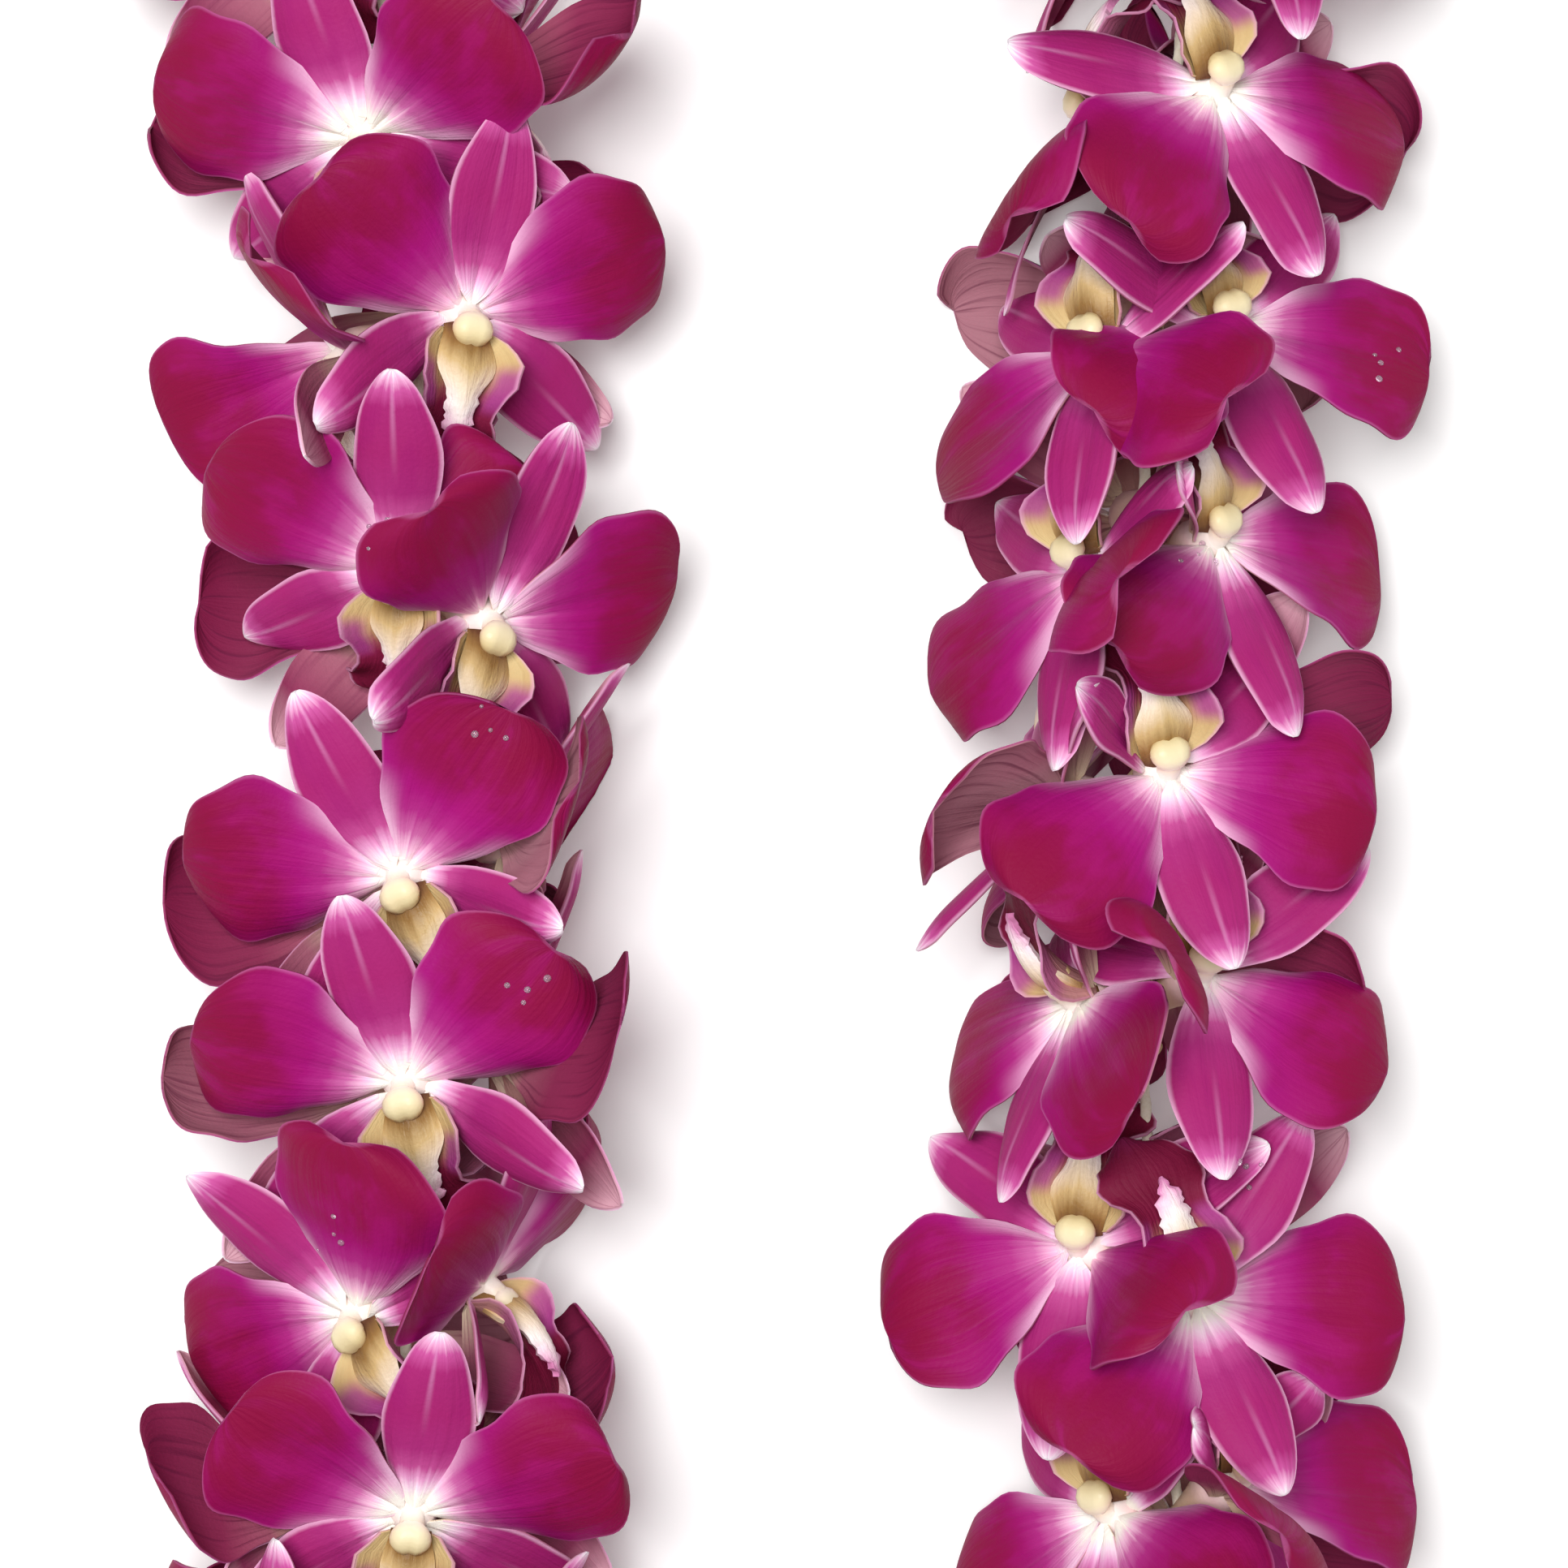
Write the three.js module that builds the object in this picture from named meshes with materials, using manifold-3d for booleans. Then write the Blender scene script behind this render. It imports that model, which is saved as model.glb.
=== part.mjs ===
// A fresh orchid lei: 84 dendrobium blooms in whorls of three on one closed thread, laid in a long loop.
// Millimetres, +Z up. The loop's long way runs along Y, its middle is over the origin, and it lies on z = 0.
import * as THREE from "three";
import { mergeVertices } from "three/addons/utils/BufferGeometryUtils.js";
import Module from "manifold-3d";

const wasm = await Module();
wasm.setup();

const DEG = Math.PI / 180;
const UP = new THREE.Vector3(0, 0, 1);

// The thread's route seen from above: two long sides that bow in a little, joined by two round ends.
const WAIST_HALF = 49.5; // from the middle line to the thread, halfway along
const SIDE_RADIUS = 900;
const END_RADIUS = 59;
const THREAD_HEIGHT = 24;
const THREAD_RADIUS = 0.8;
const THREAD_SIDES = 5;
const THREAD_STEP = 9; // on the round ends; the long sides take twice that
const ROUTE_MIDDLE = [0.8, -0.7]; // puts the middle of the uneven blooms, not of the thread, over the origin
const KNOT_RADIUS = 1.9;
const KNOT_STATION = 0.543; // as a share of half the loop, in a bare stretch of the far end
const TAIL_LENGTH = 9;

// The whorls: seven on each long side, seven round each end.
const SIDE_WHORLS = 7;
const END_WHORLS = 7;
const SIDE_PITCH = 31.4;
const SIDE_PHASE = 3; // how far the middle whorl of a side lies past the waist
const NECK_STEP = 4.2; // between the three necks of a whorl, along the thread
const SIDE_CLOCK = 114; // from a whorl's front bloom round to each of its side blooms

// One bloom, from its centre: x to its right, y to its upper sepal, z the way it faces.
const NECK_LENGTH = 12.5; // from the thread to the centre
const NECK_TAIL = 2.5; // how far the neck goes on past the thread
const NECK_RADIUS = 2.9;
const HOLE_RADIUS = 1.45;
const HOLE_SIDES = 6;
const HUB_RADIUS = 3.2;
const HUB_HALF = 1.1;
const COLUMN_LENGTH = 8;
const COLUMN_RADIUS = 2.1;
const TILT = 30; // each bloom leans back along the thread, so that its upper sepal stands off it

// A row of points across a blade, with or without a midrib.
const RIBBED = [-1, 0, 1];
const FLAT = [-1, 1];

// A blade is a petal, a sepal or the lip. azimuth is where it grows on the hub, and sector is half the angle
// that it has there. reach is its length, half its half width, rise its lift out of the bloom's plane, curl
// how far it turns along its length, cup how far its edges stand forward, and thick half its thickness.
// rows are its rows of points, each at a share of its length.
const PETAL = { sector: 38, reach: 27, half: 13, rise: 8, curl: -16, cup: -1.2, thick: 0.35 };
const SEPAL = { reach: 27, half: 6.4, rise: -4, curl: -8, cup: -0.8, thick: 0.35 };
const LIP = { sector: 34, reach: 22, half: 6.4, rise: 38, curl: -78, cup: 4, thick: 0.42 };
const PETAL_FORM = { ...PETAL, width: petalWidth, rows: [[0.4, RIBBED], [0.8, FLAT]] };
const SEPAL_FORM = { ...SEPAL, width: sepalWidth, rows: [[0.48, FLAT]] };
const BLADES = [
  { ...SEPAL_FORM, azimuth: 90, sector: 22, rows: [[0.48, RIBBED]] },
  { ...PETAL_FORM, azimuth: 150 },
  { ...SEPAL_FORM, azimuth: 212, sector: 24 },
  { ...LIP, azimuth: 270, width: lipWidth, rows: [[0.36, RIBBED], [0.72, FLAT]] },
  { ...SEPAL_FORM, azimuth: 328, sector: 24 },
  { ...PETAL_FORM, azimuth: 30 },
];

// The front blooms of the whorls on the long sides: how far the whorl is moved along the thread, the clock
// angle that the bloom's neck leaves the thread at, the clock angle that its face turns to, and its roll.
// Clock 0 is up, and 90 is towards the middle of the loop.
const LEFT_FRONTS = [
  [-3, 22, 4, 0],
  [-8, -40, -16, 46],
  [-7, -10, 0, 17],
  [-10, -18, 0, 28],
  [-2.4, 54, 30, -19],
  [4, 46, 18, -13],
  [-1, -25, -12, 5],
];
const RIGHT_FRONTS = [
  [1, -29, -20, 25],
  [1.6, -68, -10, 21],
  [0, -62, -32, 20],
  [1, -17, -8, 14],
  [-2.4, -44, -20, -5],
  [7.4, 72, 14, -10],
  [10, 72, 44, 0],
];
// Two whorls turn a second bloom to the front.
const SECOND_FRONTS = new Map([
  [4, { clock: -16, face: -12, roll: -7 }],
  [19, { clock: -22, face: -8, roll: 17 }],
]);

// How a blade may be bent out of its neighbours' way, the least first: a fold at its base in degrees, and
// a share of its length, for a blade that stayed small where it was crowded.
const FOLDS = [0, 7, -7, 14, -14, 21, -21, 28, -28, 35, -35, 42, -42, 49, -49, 56, 63];
const POSES = [1, 0.86, 0.72, 0.6].flatMap((scale) => FOLDS.map((fold) => ({ fold, scale })));
const CLEARANCE = 0.25;
const SWEEPS = 12;
const REACH_ALONG = 75; // blooms further apart than this along the thread never touch

// Width along a blade as a share of its half width, t running from its base to its tip.
function petalWidth(t) {
  return (t / 0.64) ** 0.9 * ((1 - t) / 0.36) ** 0.5;
}

function sepalWidth(t) {
  return (t / 0.417) ** 0.5 * ((1 - t) / 0.583) ** 0.7;
}

function lipWidth(t) {
  return t < 0.5 ? 1 : 0.95;
}

// The same small unevenness every time: between -0.5 and 0.5 for bloom i and purpose k.
function uneven(i, k) {
  const x = i * 0.618034 + k * 0.37;
  return x - Math.floor(x) - 0.5;
}

// The route as four arcs.
const SIDE_CENTRE = WAIST_HALF + SIDE_RADIUS;
const END_CENTRE = Math.sqrt((SIDE_RADIUS + END_RADIUS) ** 2 - SIDE_CENTRE ** 2);
const SIDE_ANGLE = Math.atan2(END_CENTRE, SIDE_CENTRE);
const SIDE_LENGTH = 2 * SIDE_RADIUS * SIDE_ANGLE;
const END_LENGTH = (Math.PI + 2 * SIDE_ANGLE) * END_RADIUS;
const HALF_LOOP = SIDE_LENGTH + END_LENGTH;

// The thread's point, direction and inward side, s millimetres along it from the left side's waist.
function onLoop(s) {
  const halves = Math.floor(s / HALF_LOOP);
  const along = s - halves * HALF_LOOP;
  const flip = halves % 2 ? -1 : 1;
  let x, y, dx, dy;
  if (along < SIDE_LENGTH / 2) {
    const a = along / SIDE_RADIUS;
    [x, y] = [-SIDE_CENTRE + SIDE_RADIUS * Math.cos(a), SIDE_RADIUS * Math.sin(a)];
    [dx, dy] = [-Math.sin(a), Math.cos(a)];
  } else if (along < SIDE_LENGTH / 2 + END_LENGTH) {
    const a = Math.PI + SIDE_ANGLE - (along - SIDE_LENGTH / 2) / END_RADIUS;
    [x, y] = [END_RADIUS * Math.cos(a), END_CENTRE + END_RADIUS * Math.sin(a)];
    [dx, dy] = [Math.sin(a), -Math.cos(a)];
  } else {
    const a = (HALF_LOOP - along) / SIDE_RADIUS;
    [x, y] = [SIDE_CENTRE - SIDE_RADIUS * Math.cos(a), SIDE_RADIUS * Math.sin(a)];
    [dx, dy] = [-Math.sin(a), -Math.cos(a)];
  }
  const point = new THREE.Vector3(ROUTE_MIDDLE[0] + flip * x, ROUTE_MIDDLE[1] + flip * y, THREAD_HEIGHT);
  const way = new THREE.Vector3(flip * dx, flip * dy, 0);
  return { point, way, inward: new THREE.Vector3().crossVectors(way, UP) };
}

// A whorl on a long side, counted from that side's first.
function sidePlace(half, j) {
  const [shift, clock, face, roll] = (half % 2 ? RIGHT_FRONTS : LEFT_FRONTS)[j];
  const station = half * HALF_LOOP + SIDE_PHASE + (j - (SIDE_WHORLS - 1) / 2) * SIDE_PITCH + shift;
  return { station, clock, face, roll };
}

// Where whorl w is, and how its front bloom is turned. Those round an end are evenly spaced.
function whorlPlace(w) {
  const half = Math.floor(w / (SIDE_WHORLS + END_WHORLS));
  const j = w % (SIDE_WHORLS + END_WHORLS);
  if (j < SIDE_WHORLS) return sidePlace(half, j);
  const before = sidePlace(half, SIDE_WHORLS - 1).station;
  const after = sidePlace(half + 1, 0).station;
  const share = (j - SIDE_WHORLS + 1) / (END_WHORLS + 1);
  const clock = -22 + 50 * uneven(w, 1);
  return { station: before + (after - before) * share, clock, face: clock, roll: 40 * uneven(w, 2) };
}

// A bloom further round its whorl, with its own unevenness.
function sideBloom(i, clock) {
  const turn = clock + 14 * uneven(i, 3);
  return { clock: turn, face: turn, roll: 30 * uneven(i, 4) };
}

// The three blooms of whorl w, the front one first.
function whorlBlooms(w) {
  const { station, ...front } = whorlPlace(w);
  const also = SECOND_FRONTS.get(w);
  const round = also ? (front.clock + also.clock) / 2 + 180 : front.clock - SIDE_CLOCK;
  const second = also ?? sideBloom(3 * w + 1, front.clock + SIDE_CLOCK);
  const places = also ? [-1, 1, 0] : [0, 1, -1];
  return [front, second, sideBloom(3 * w + 2, round)].map((bloom, m) => {
    const tilt = TILT + 8 * uneven(3 * w + m, 5);
    const at = station + places[m] * NECK_STEP;
    const neck = bloomAxes(at, bloom.clock, tilt);
    const centre = new THREE.Vector3().setFromMatrixPosition(neck);
    const frame = bloomAxes(at, bloom.face, tilt, bloom.roll).setPosition(centre);
    return { station: at, front: m === 0 || (also && m === 1), neck, frame };
  });
}

// A bloom's axes in the world, when it leaves the thread at a clock angle and is rolled about its own axis.
function bloomAxes(station, clock, tilt, roll = 0) {
  const { point, way, inward } = onLoop(station);
  const out = inward.multiplyScalar(Math.sin(clock * DEG)).addScaledVector(UP, Math.cos(clock * DEG));
  const [lean, stand] = [Math.sin(tilt * DEG), Math.cos(tilt * DEG)];
  const facing = out.clone().multiplyScalar(stand).addScaledVector(way, -lean);
  const upper = out.clone().multiplyScalar(lean).addScaledVector(way, stand);
  upper.applyAxisAngle(facing, roll * DEG);
  const right = new THREE.Vector3().crossVectors(upper, facing);
  const centre = point.addScaledVector(facing, NECK_LENGTH);
  return new THREE.Matrix4().makeBasis(right, upper, facing).setPosition(centre);
}

// A blade's mid surface at t along it and v across it (-1 to 1), with its normal, in the bloom's axes.
function bladePoint(blade, { fold, scale }, t, v) {
  const reach = blade.reach * scale;
  const start = (blade.rise + fold) * DEG;
  const turn = blade.curl * DEG;
  const slope = start + turn * t;
  const lift = blade.cup * v * v;
  const mid = HUB_RADIUS + (reach / turn) * (Math.sin(slope) - Math.sin(start));
  const r = mid - lift * Math.sin(slope);
  const z = (reach / turn) * (Math.cos(start) - Math.cos(slope)) + lift * Math.cos(slope);
  const half = Math.min(blade.half * blade.width(t), mid * Math.tan(blade.sector * DEG));
  const [c, s] = [Math.cos(blade.azimuth * DEG), Math.sin(blade.azimuth * DEG)];
  return {
    point: new THREE.Vector3(r * c - v * half * s, r * s + v * half * c, z),
    normal: new THREE.Vector3(-Math.sin(slope) * c, -Math.sin(slope) * s, Math.cos(slope)),
  };
}

// Front and back of one point of a blade, in the world. What would pass below z = 0 is pressed flat on it.
function bladePair(blade, pose, frame, t, v) {
  const { point, normal } = bladePoint(blade, pose, t, v);
  point.applyMatrix4(frame);
  normal.transformDirection(frame);
  if (point.z < blade.thick) {
    point.z = blade.thick;
    normal.set(0, 0, normal.z < 0 ? -1 : 1);
  }
  const front = point.clone().addScaledVector(normal, blade.thick);
  const back = point.clone().addScaledVector(normal, -blade.thick);
  front.z = Math.max(front.z, 0);
  back.z = Math.max(back.z, 0);
  return { front, back };
}

// A growing list of triangles on shared points.
class Skin {
  points = [];
  faces = [];

  point(p) {
    this.points.push(p.x, p.y, p.z);
    return this.points.length / 3 - 1;
  }

  face(a, b, c) {
    this.faces.push(a, b, c);
  }

  quad(a, b, c, d) {
    this.face(a, b, c);
    this.face(a, c, d);
  }

  geometry() {
    const g = new THREE.BufferGeometry();
    g.setAttribute("position", new THREE.Float32BufferAttribute(this.points, 3));
    return g.setIndex(this.faces);
  }
}

// Front and back faces between two rows of a blade, split alike.
function addStrip(skin, lower, upper) {
  let i = 0;
  let j = 0;
  while (i < lower.length - 1 || j < upper.length - 1) {
    const nextLower = i < lower.length - 1 ? lower[i + 1].v : Infinity;
    const nextUpper = j < upper.length - 1 ? upper[j + 1].v : Infinity;
    const [a, b] = [lower[i], upper[j]];
    const c = nextLower <= nextUpper ? lower[++i] : upper[++j];
    skin.face(a.front, b.front, c.front);
    skin.face(c.back, b.back, a.back);
  }
}

// One blade on its base row, whose points are already in the skin.
function addBlade(skin, base, blade, pose, frame) {
  let lower = base;
  for (const [t, across] of [...blade.rows, [1, [0]]]) {
    const upper = across.map((v) => {
      const { front, back } = bladePair(blade, pose, frame, t, v);
      return { v, front: skin.point(front), back: skin.point(back) };
    });
    addStrip(skin, lower, upper);
    const [l0, l1, u0, u1] = [lower[0], lower.at(-1), upper[0], upper.at(-1)];
    skin.quad(l0.back, u0.back, u0.front, l0.front);
    skin.quad(l1.front, u1.front, u1.back, l1.back);
    lower = upper;
  }
}

// A ring of points round the bloom's axis, each with the angle it stands at.
function addRing(skin, frame, angles, radius, z) {
  return angles.map((angle) => {
    const a = angle * DEG;
    const p = new THREE.Vector3(radius * Math.cos(a), radius * Math.sin(a), z).applyMatrix4(frame);
    return { angle, id: skin.point(p) };
  });
}

// The side between two rings of any counts, the lower one behind the upper one.
function addBand(skin, lower, upper) {
  const turn = (ring, i) => ring[i % ring.length].angle + (i < ring.length ? 0 : 360);
  let i = 0;
  let j = 0;
  while (i < lower.length || j < upper.length) {
    const [a, b] = [lower[i % lower.length].id, upper[j % upper.length].id];
    const stepLower = j >= upper.length || (i < lower.length && turn(lower, i + 1) <= turn(upper, j + 1));
    if (stepLower) skin.face(a, lower[++i % lower.length].id, b);
    else skin.face(a, upper[++j % upper.length].id, b);
  }
}

function addLid(skin, ring) {
  for (let i = 1; i < ring.length - 1; i++) skin.face(ring[0].id, ring[i].id, ring[i + 1].id);
}

const HUB_ANGLES = BLADES.map((blade) => blade.azimuth - blade.sector + (blade.azimuth < 60 ? 360 : 0));
const NECK_ANGLES = [90, 180, 270, 360];
const COLUMN_ANGLES = [90, 210, 330];

// A bloom: its neck and column as one core, and each blade on its own side of the hub between them.
// Without poses the sides of the hub are closed.
function bloomSkin({ neck, frame, poses }) {
  const skin = new Skin();
  const tail = addRing(skin, neck, NECK_ANGLES, NECK_RADIUS, -NECK_LENGTH - NECK_TAIL);
  const back = addRing(skin, frame, HUB_ANGLES, HUB_RADIUS, -HUB_HALF);
  const front = addRing(skin, frame, HUB_ANGLES, HUB_RADIUS, HUB_HALF);
  const tip = addRing(skin, frame, COLUMN_ANGLES, COLUMN_RADIUS, COLUMN_LENGTH);
  addLid(skin, [...tail].reverse());
  addBand(skin, tail, back);
  addBand(skin, front, tip);
  addLid(skin, tip);
  BLADES.forEach((blade, i) => {
    const n = (i + 1) % BLADES.length;
    const base = [i, n].map((k, side) => ({ v: 2 * side - 1, front: front[k].id, back: back[k].id }));
    if (poses) addBlade(skin, base, blade, poses[i], frame);
    else skin.quad(base[0].back, base[1].back, base[1].front, base[0].front);
  });
  return skin;
}

// One blade by itself, closed at its base.
function bladeSkin(i, pose, frame) {
  const skin = new Skin();
  const back = addRing(skin, frame, HUB_ANGLES, HUB_RADIUS, -HUB_HALF);
  const front = addRing(skin, frame, HUB_ANGLES, HUB_RADIUS, HUB_HALF);
  const n = (i + 1) % BLADES.length;
  const base = [i, n].map((k, side) => ({ v: 2 * side - 1, front: front[k].id, back: back[k].id }));
  skin.quad(base[0].front, base[1].front, base[1].back, base[0].back);
  addBlade(skin, base, BLADES[i], pose, frame);
  return skin;
}

function solid(geometry) {
  const bare = geometry.clone();
  bare.deleteAttribute("normal");
  bare.deleteAttribute("uv");
  const merged = mergeVertices(bare, 1e-4);
  const triVerts = new Uint32Array(merged.index.array);
  const vertProperties = merged.attributes.position.array;
  return new wasm.Manifold(new wasm.Mesh({ numProp: 3, vertProperties, triVerts }));
}

function geometryOf(body) {
  const { vertProperties, triVerts } = body.getMesh();
  const g = new THREE.BufferGeometry();
  g.setAttribute("position", new THREE.BufferAttribute(new Float32Array(vertProperties), 3));
  g.setIndex(new THREE.BufferAttribute(new Uint32Array(triVerts), 1));
  g.computeVertexNormals();
  return g;
}

// A tube along the thread through the given stations, closed on itself or with a lid at each end.
function alongThread(stations, radius, sides, closed = false) {
  const skin = new Skin();
  const rings = stations.map((s) => {
    const { point, inward } = onLoop(s);
    return Array.from({ length: sides }, (_, i) => {
      const angle = (i / sides) * 360;
      const p = point.clone().addScaledVector(inward, -radius * Math.cos(angle * DEG));
      p.z += radius * Math.sin(angle * DEG);
      return { angle, id: skin.point(p) };
    });
  });
  const spans = closed ? rings.length : rings.length - 1;
  for (let i = 0; i < spans; i++) addBand(skin, rings[i], rings[(i + 1) % rings.length]);
  if (!closed) {
    addLid(skin, [...rings[0]].reverse());
    addLid(skin, rings.at(-1));
  }
  return solid(skin.geometry());
}

// The thread, with the knot that closes it and the two tails of the knot.
function makeThread() {
  const bounds = [0, 1].flatMap((half) => {
    const start = half * HALF_LOOP;
    return [
      [start - SIDE_LENGTH / 2, start + SIDE_LENGTH / 2, 2 * THREAD_STEP],
      [start + SIDE_LENGTH / 2, start + SIDE_LENGTH / 2 + END_LENGTH, THREAD_STEP],
    ];
  });
  const stations = bounds.flatMap(([from, to, step]) => {
    const spans = Math.round((to - from) / step);
    return Array.from({ length: spans }, (_, i) => from + ((to - from) * i) / spans);
  });
  const loop = alongThread(stations, THREAD_RADIUS, THREAD_SIDES, true);
  const { point, way, inward } = onLoop(KNOT_STATION * HALF_LOOP);
  const knot = new THREE.IcosahedronGeometry(KNOT_RADIUS, 0).translate(point.x, point.y, point.z);
  const tails = [-1, 1].map((side) => {
    const tail = new THREE.CylinderGeometry(THREAD_RADIUS, THREAD_RADIUS, TAIL_LENGTH, THREAD_SIDES);
    tail.translate(0, TAIL_LENGTH / 2, 0);
    const lie = way.clone().multiplyScalar(0.5 * side).addScaledVector(inward, -0.75);
    lie.z = -0.6;
    const turn = new THREE.Quaternion().setFromUnitVectors(new THREE.Vector3(0, 1, 0), lie.normalize());
    tail.applyQuaternion(turn);
    return tail.translate(point.x, point.y, point.z);
  });
  return wasm.Manifold.union([loop, solid(knot), ...tails.map(solid)]);
}

// Bends every blade until it is clear of the thread, the cores and the other blooms' blades. In each sweep
// a blade in conflict takes the pose that touches least, and of those the one that bends it least.
function bendClear(blooms, thread) {
  const things = blooms.map((bloom) => {
    const body = solid(bloomSkin(bloom).geometry());
    return { bloom, body, box: body.boundingBox(), fixed: true };
  });
  const blades = blooms.flatMap((bloom) =>
    BLADES.map((_, i) => ({ bloom, i, poses: POSES.map(() => null), fixed: false })),
  );
  blades.sort((a, b) => (b.bloom.front ? 1 : 0) - (a.bloom.front ? 1 : 0));
  const posed = (blade, k) => {
    if (!blade.poses[k]) {
      const body = solid(bladeSkin(blade.i, POSES[k], blade.bloom.frame).geometry());
      blade.poses[k] = { body, box: body.boundingBox() };
    }
    return blade.poses[k];
  };
  const setPose = (blade, k) => Object.assign(blade, posed(blade, k), { k });
  blades.forEach((blade) => setPose(blade, 0));
  things.push(...blades);
  const near = new Map(blades.map((blade) => [blade, things.filter((o) => isNear(blade.bloom, o.bloom))]));
  const cost = (blade, k, limit) => {
    const { body, box } = posed(blade, k);
    let sum = (blade.bloom.front ? 0.05 : 0.02) * Math.abs(POSES[k].fold) + 8 * (1 - POSES[k].scale);
    if (touches(posed(blade, k), thread)) sum += 12;
    for (const other of near.get(blade)) {
      if (sum >= limit) return sum;
      if (touches({ body, box }, other)) sum += other.fixed ? 12 : 5;
    }
    return sum;
  };
  const inConflict = (blade) => touches(blade, thread) || near.get(blade).some((o) => touches(blade, o));
  for (let sweep = 0; sweep < SWEEPS; sweep++) {
    const waiting = blades.filter(inConflict);
    if (sweep % 2 === 0) waiting.reverse();
    for (const blade of waiting) {
      let best = blade.k;
      let least = cost(blade, blade.k, Infinity);
      POSES.forEach((_, k) => {
        const sum = cost(blade, k, least);
        if (sum < least) [best, least] = [k, sum];
      });
      setPose(blade, best);
    }
  }
  for (const blade of blades) {
    blade.bloom.poses ??= [];
    blade.bloom.poses[blade.i] = POSES[blade.k];
  }
}

function isNear(a, b) {
  const gap = Math.abs(a.station - b.station);
  return a !== b && Math.min(gap, 2 * HALF_LOOP - gap) < REACH_ALONG;
}

function touches(a, b) {
  const far = [0, 1, 2].some(
    (i) => a.box.min[i] > b.box.max[i] + CLEARANCE || b.box.min[i] > a.box.max[i] + CLEARANCE,
  );
  return !far && a.body.minGap(b.body, CLEARANCE) < CLEARANCE;
}

// The three blooms of a whorl, grown together at their necks, with the thread's hole through them.
function whorlSolid(blooms) {
  const all = wasm.Manifold.union(blooms.map((b) => solid(bloomSkin(b).geometry())));
  const stations = blooms.map((b) => b.station);
  const [from, to] = [Math.min(...stations) - 2 * NECK_STEP, Math.max(...stations) + 2 * NECK_STEP];
  const hole = alongThread([from, (from + to) / 2, to], HOLE_RADIUS, HOLE_SIDES);
  return all.subtract(hole).simplify(0.06);
}

const PETAL_FINISH = { color: 0xa8186a, roughness: 0.6, metalness: 0 };
const THREAD_FINISH = { color: 0xefe9dc, roughness: 0.9, metalness: 0 };

function addPiece(group, name, body, finish) {
  const mesh = new THREE.Mesh(geometryOf(body), new THREE.MeshStandardMaterial(finish));
  mesh.name = name;
  group.add(mesh);
}

const lei = new THREE.Group();
const thread = makeThread();
addPiece(lei, "thread", thread, THREAD_FINISH);

const whorls = Array.from({ length: 2 * (SIDE_WHORLS + END_WHORLS) }, (_, w) => whorlBlooms(w));
bendClear(whorls.flat(), { body: thread, box: thread.boundingBox() });
whorls.forEach((blooms, w) => {
  addPiece(lei, `blooms_${String(w + 1).padStart(2, "0")}`, whorlSolid(blooms), PETAL_FINISH);
});

export default lei;
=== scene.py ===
# %% [markdown]
# # A fresh orchid lei
#
# A lei is a garland that is worn round the neck. This one is strung from 84 dendrobium orchids, three to a
# whorl, on one cotton thread, and it lies in a long loop. A plain solid model settles where every bloom sits,
# how it is turned, and how each petal is bent out of its neighbours' way. This lesson makes every whorl again
# from fine blades in the same places, and gives every surface the finish of a fresh orchid.

# %% Load the solid model
import math

import bmesh
import bpy
from mathutils import Matrix, Quaternion, Vector
from mathutils.kdtree import KDTree


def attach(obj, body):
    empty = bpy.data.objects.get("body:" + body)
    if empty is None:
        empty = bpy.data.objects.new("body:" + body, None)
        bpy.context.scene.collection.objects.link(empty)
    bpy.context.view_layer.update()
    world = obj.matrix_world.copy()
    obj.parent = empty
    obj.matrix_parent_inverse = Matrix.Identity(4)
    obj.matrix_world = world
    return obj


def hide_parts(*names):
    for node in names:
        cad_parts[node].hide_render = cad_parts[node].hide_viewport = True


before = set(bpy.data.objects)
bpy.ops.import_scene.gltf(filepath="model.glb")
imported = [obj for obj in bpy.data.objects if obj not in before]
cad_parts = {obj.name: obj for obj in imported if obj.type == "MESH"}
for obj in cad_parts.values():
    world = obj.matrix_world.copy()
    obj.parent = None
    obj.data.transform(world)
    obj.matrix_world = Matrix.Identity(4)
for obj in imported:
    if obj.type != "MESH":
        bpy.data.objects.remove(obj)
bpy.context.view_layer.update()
MM = 0.001

# %% [markdown]
# ## The camera
#
# The picture to match looks straight down on two runs of the lei, and its edges cut both ends off. The frame
# is a square about four blooms wide. A long lens keeps the blooms at the sides from leaning outwards, as they
# do in a picture that is taken from arm's length.

# %% Camera above the lei
VIEW_SIDE = 212.5 * MM  # what the frame takes in at the height of the upper blooms
VIEW_HEIGHT = 44 * MM
VIEW_MIDDLE = (0.8 * MM, -0.7 * MM)
LENS = 100
SENSOR = 36

camera = bpy.data.objects.new("camera", bpy.data.cameras.new("camera"))
camera.data.lens = LENS
camera.data.sensor_width = SENSOR
camera.location = (*VIEW_MIDDLE, VIEW_HEIGHT + VIEW_SIDE * LENS / SENSOR)
bpy.context.scene.collection.objects.link(camera)
bpy.context.scene.camera = camera
print("camera height in mm:", round(camera.location.z / MM))

# %% [markdown]
# ## The floor
#
# The ground is a plain sheet of nearly white, matt paper, so that the outline of the petals reads clearly. It
# has a little painted glow: an emission that lightens the shadows on it. Colours are given as sRGB hex codes
# throughout, and one function turns them to the linear values that Blender works with.

# %% White paper floor
FLOOR_SIDE = 3.0
# painted glow: the paper's emission, which lightens the shadows on it
PAPER_PAINTED_GLOW = 0.1


def linear(code):
    """An sRGB colour such as #f4f4f2 as linear red, green, blue and alpha."""
    shares = [int(code[i : i + 2], 16) / 255 for i in (1, 3, 5)]
    return [s / 12.92 if s <= 0.04045 else ((s + 0.055) / 1.055) ** 2.4 for s in shares] + [1.0]


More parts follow.
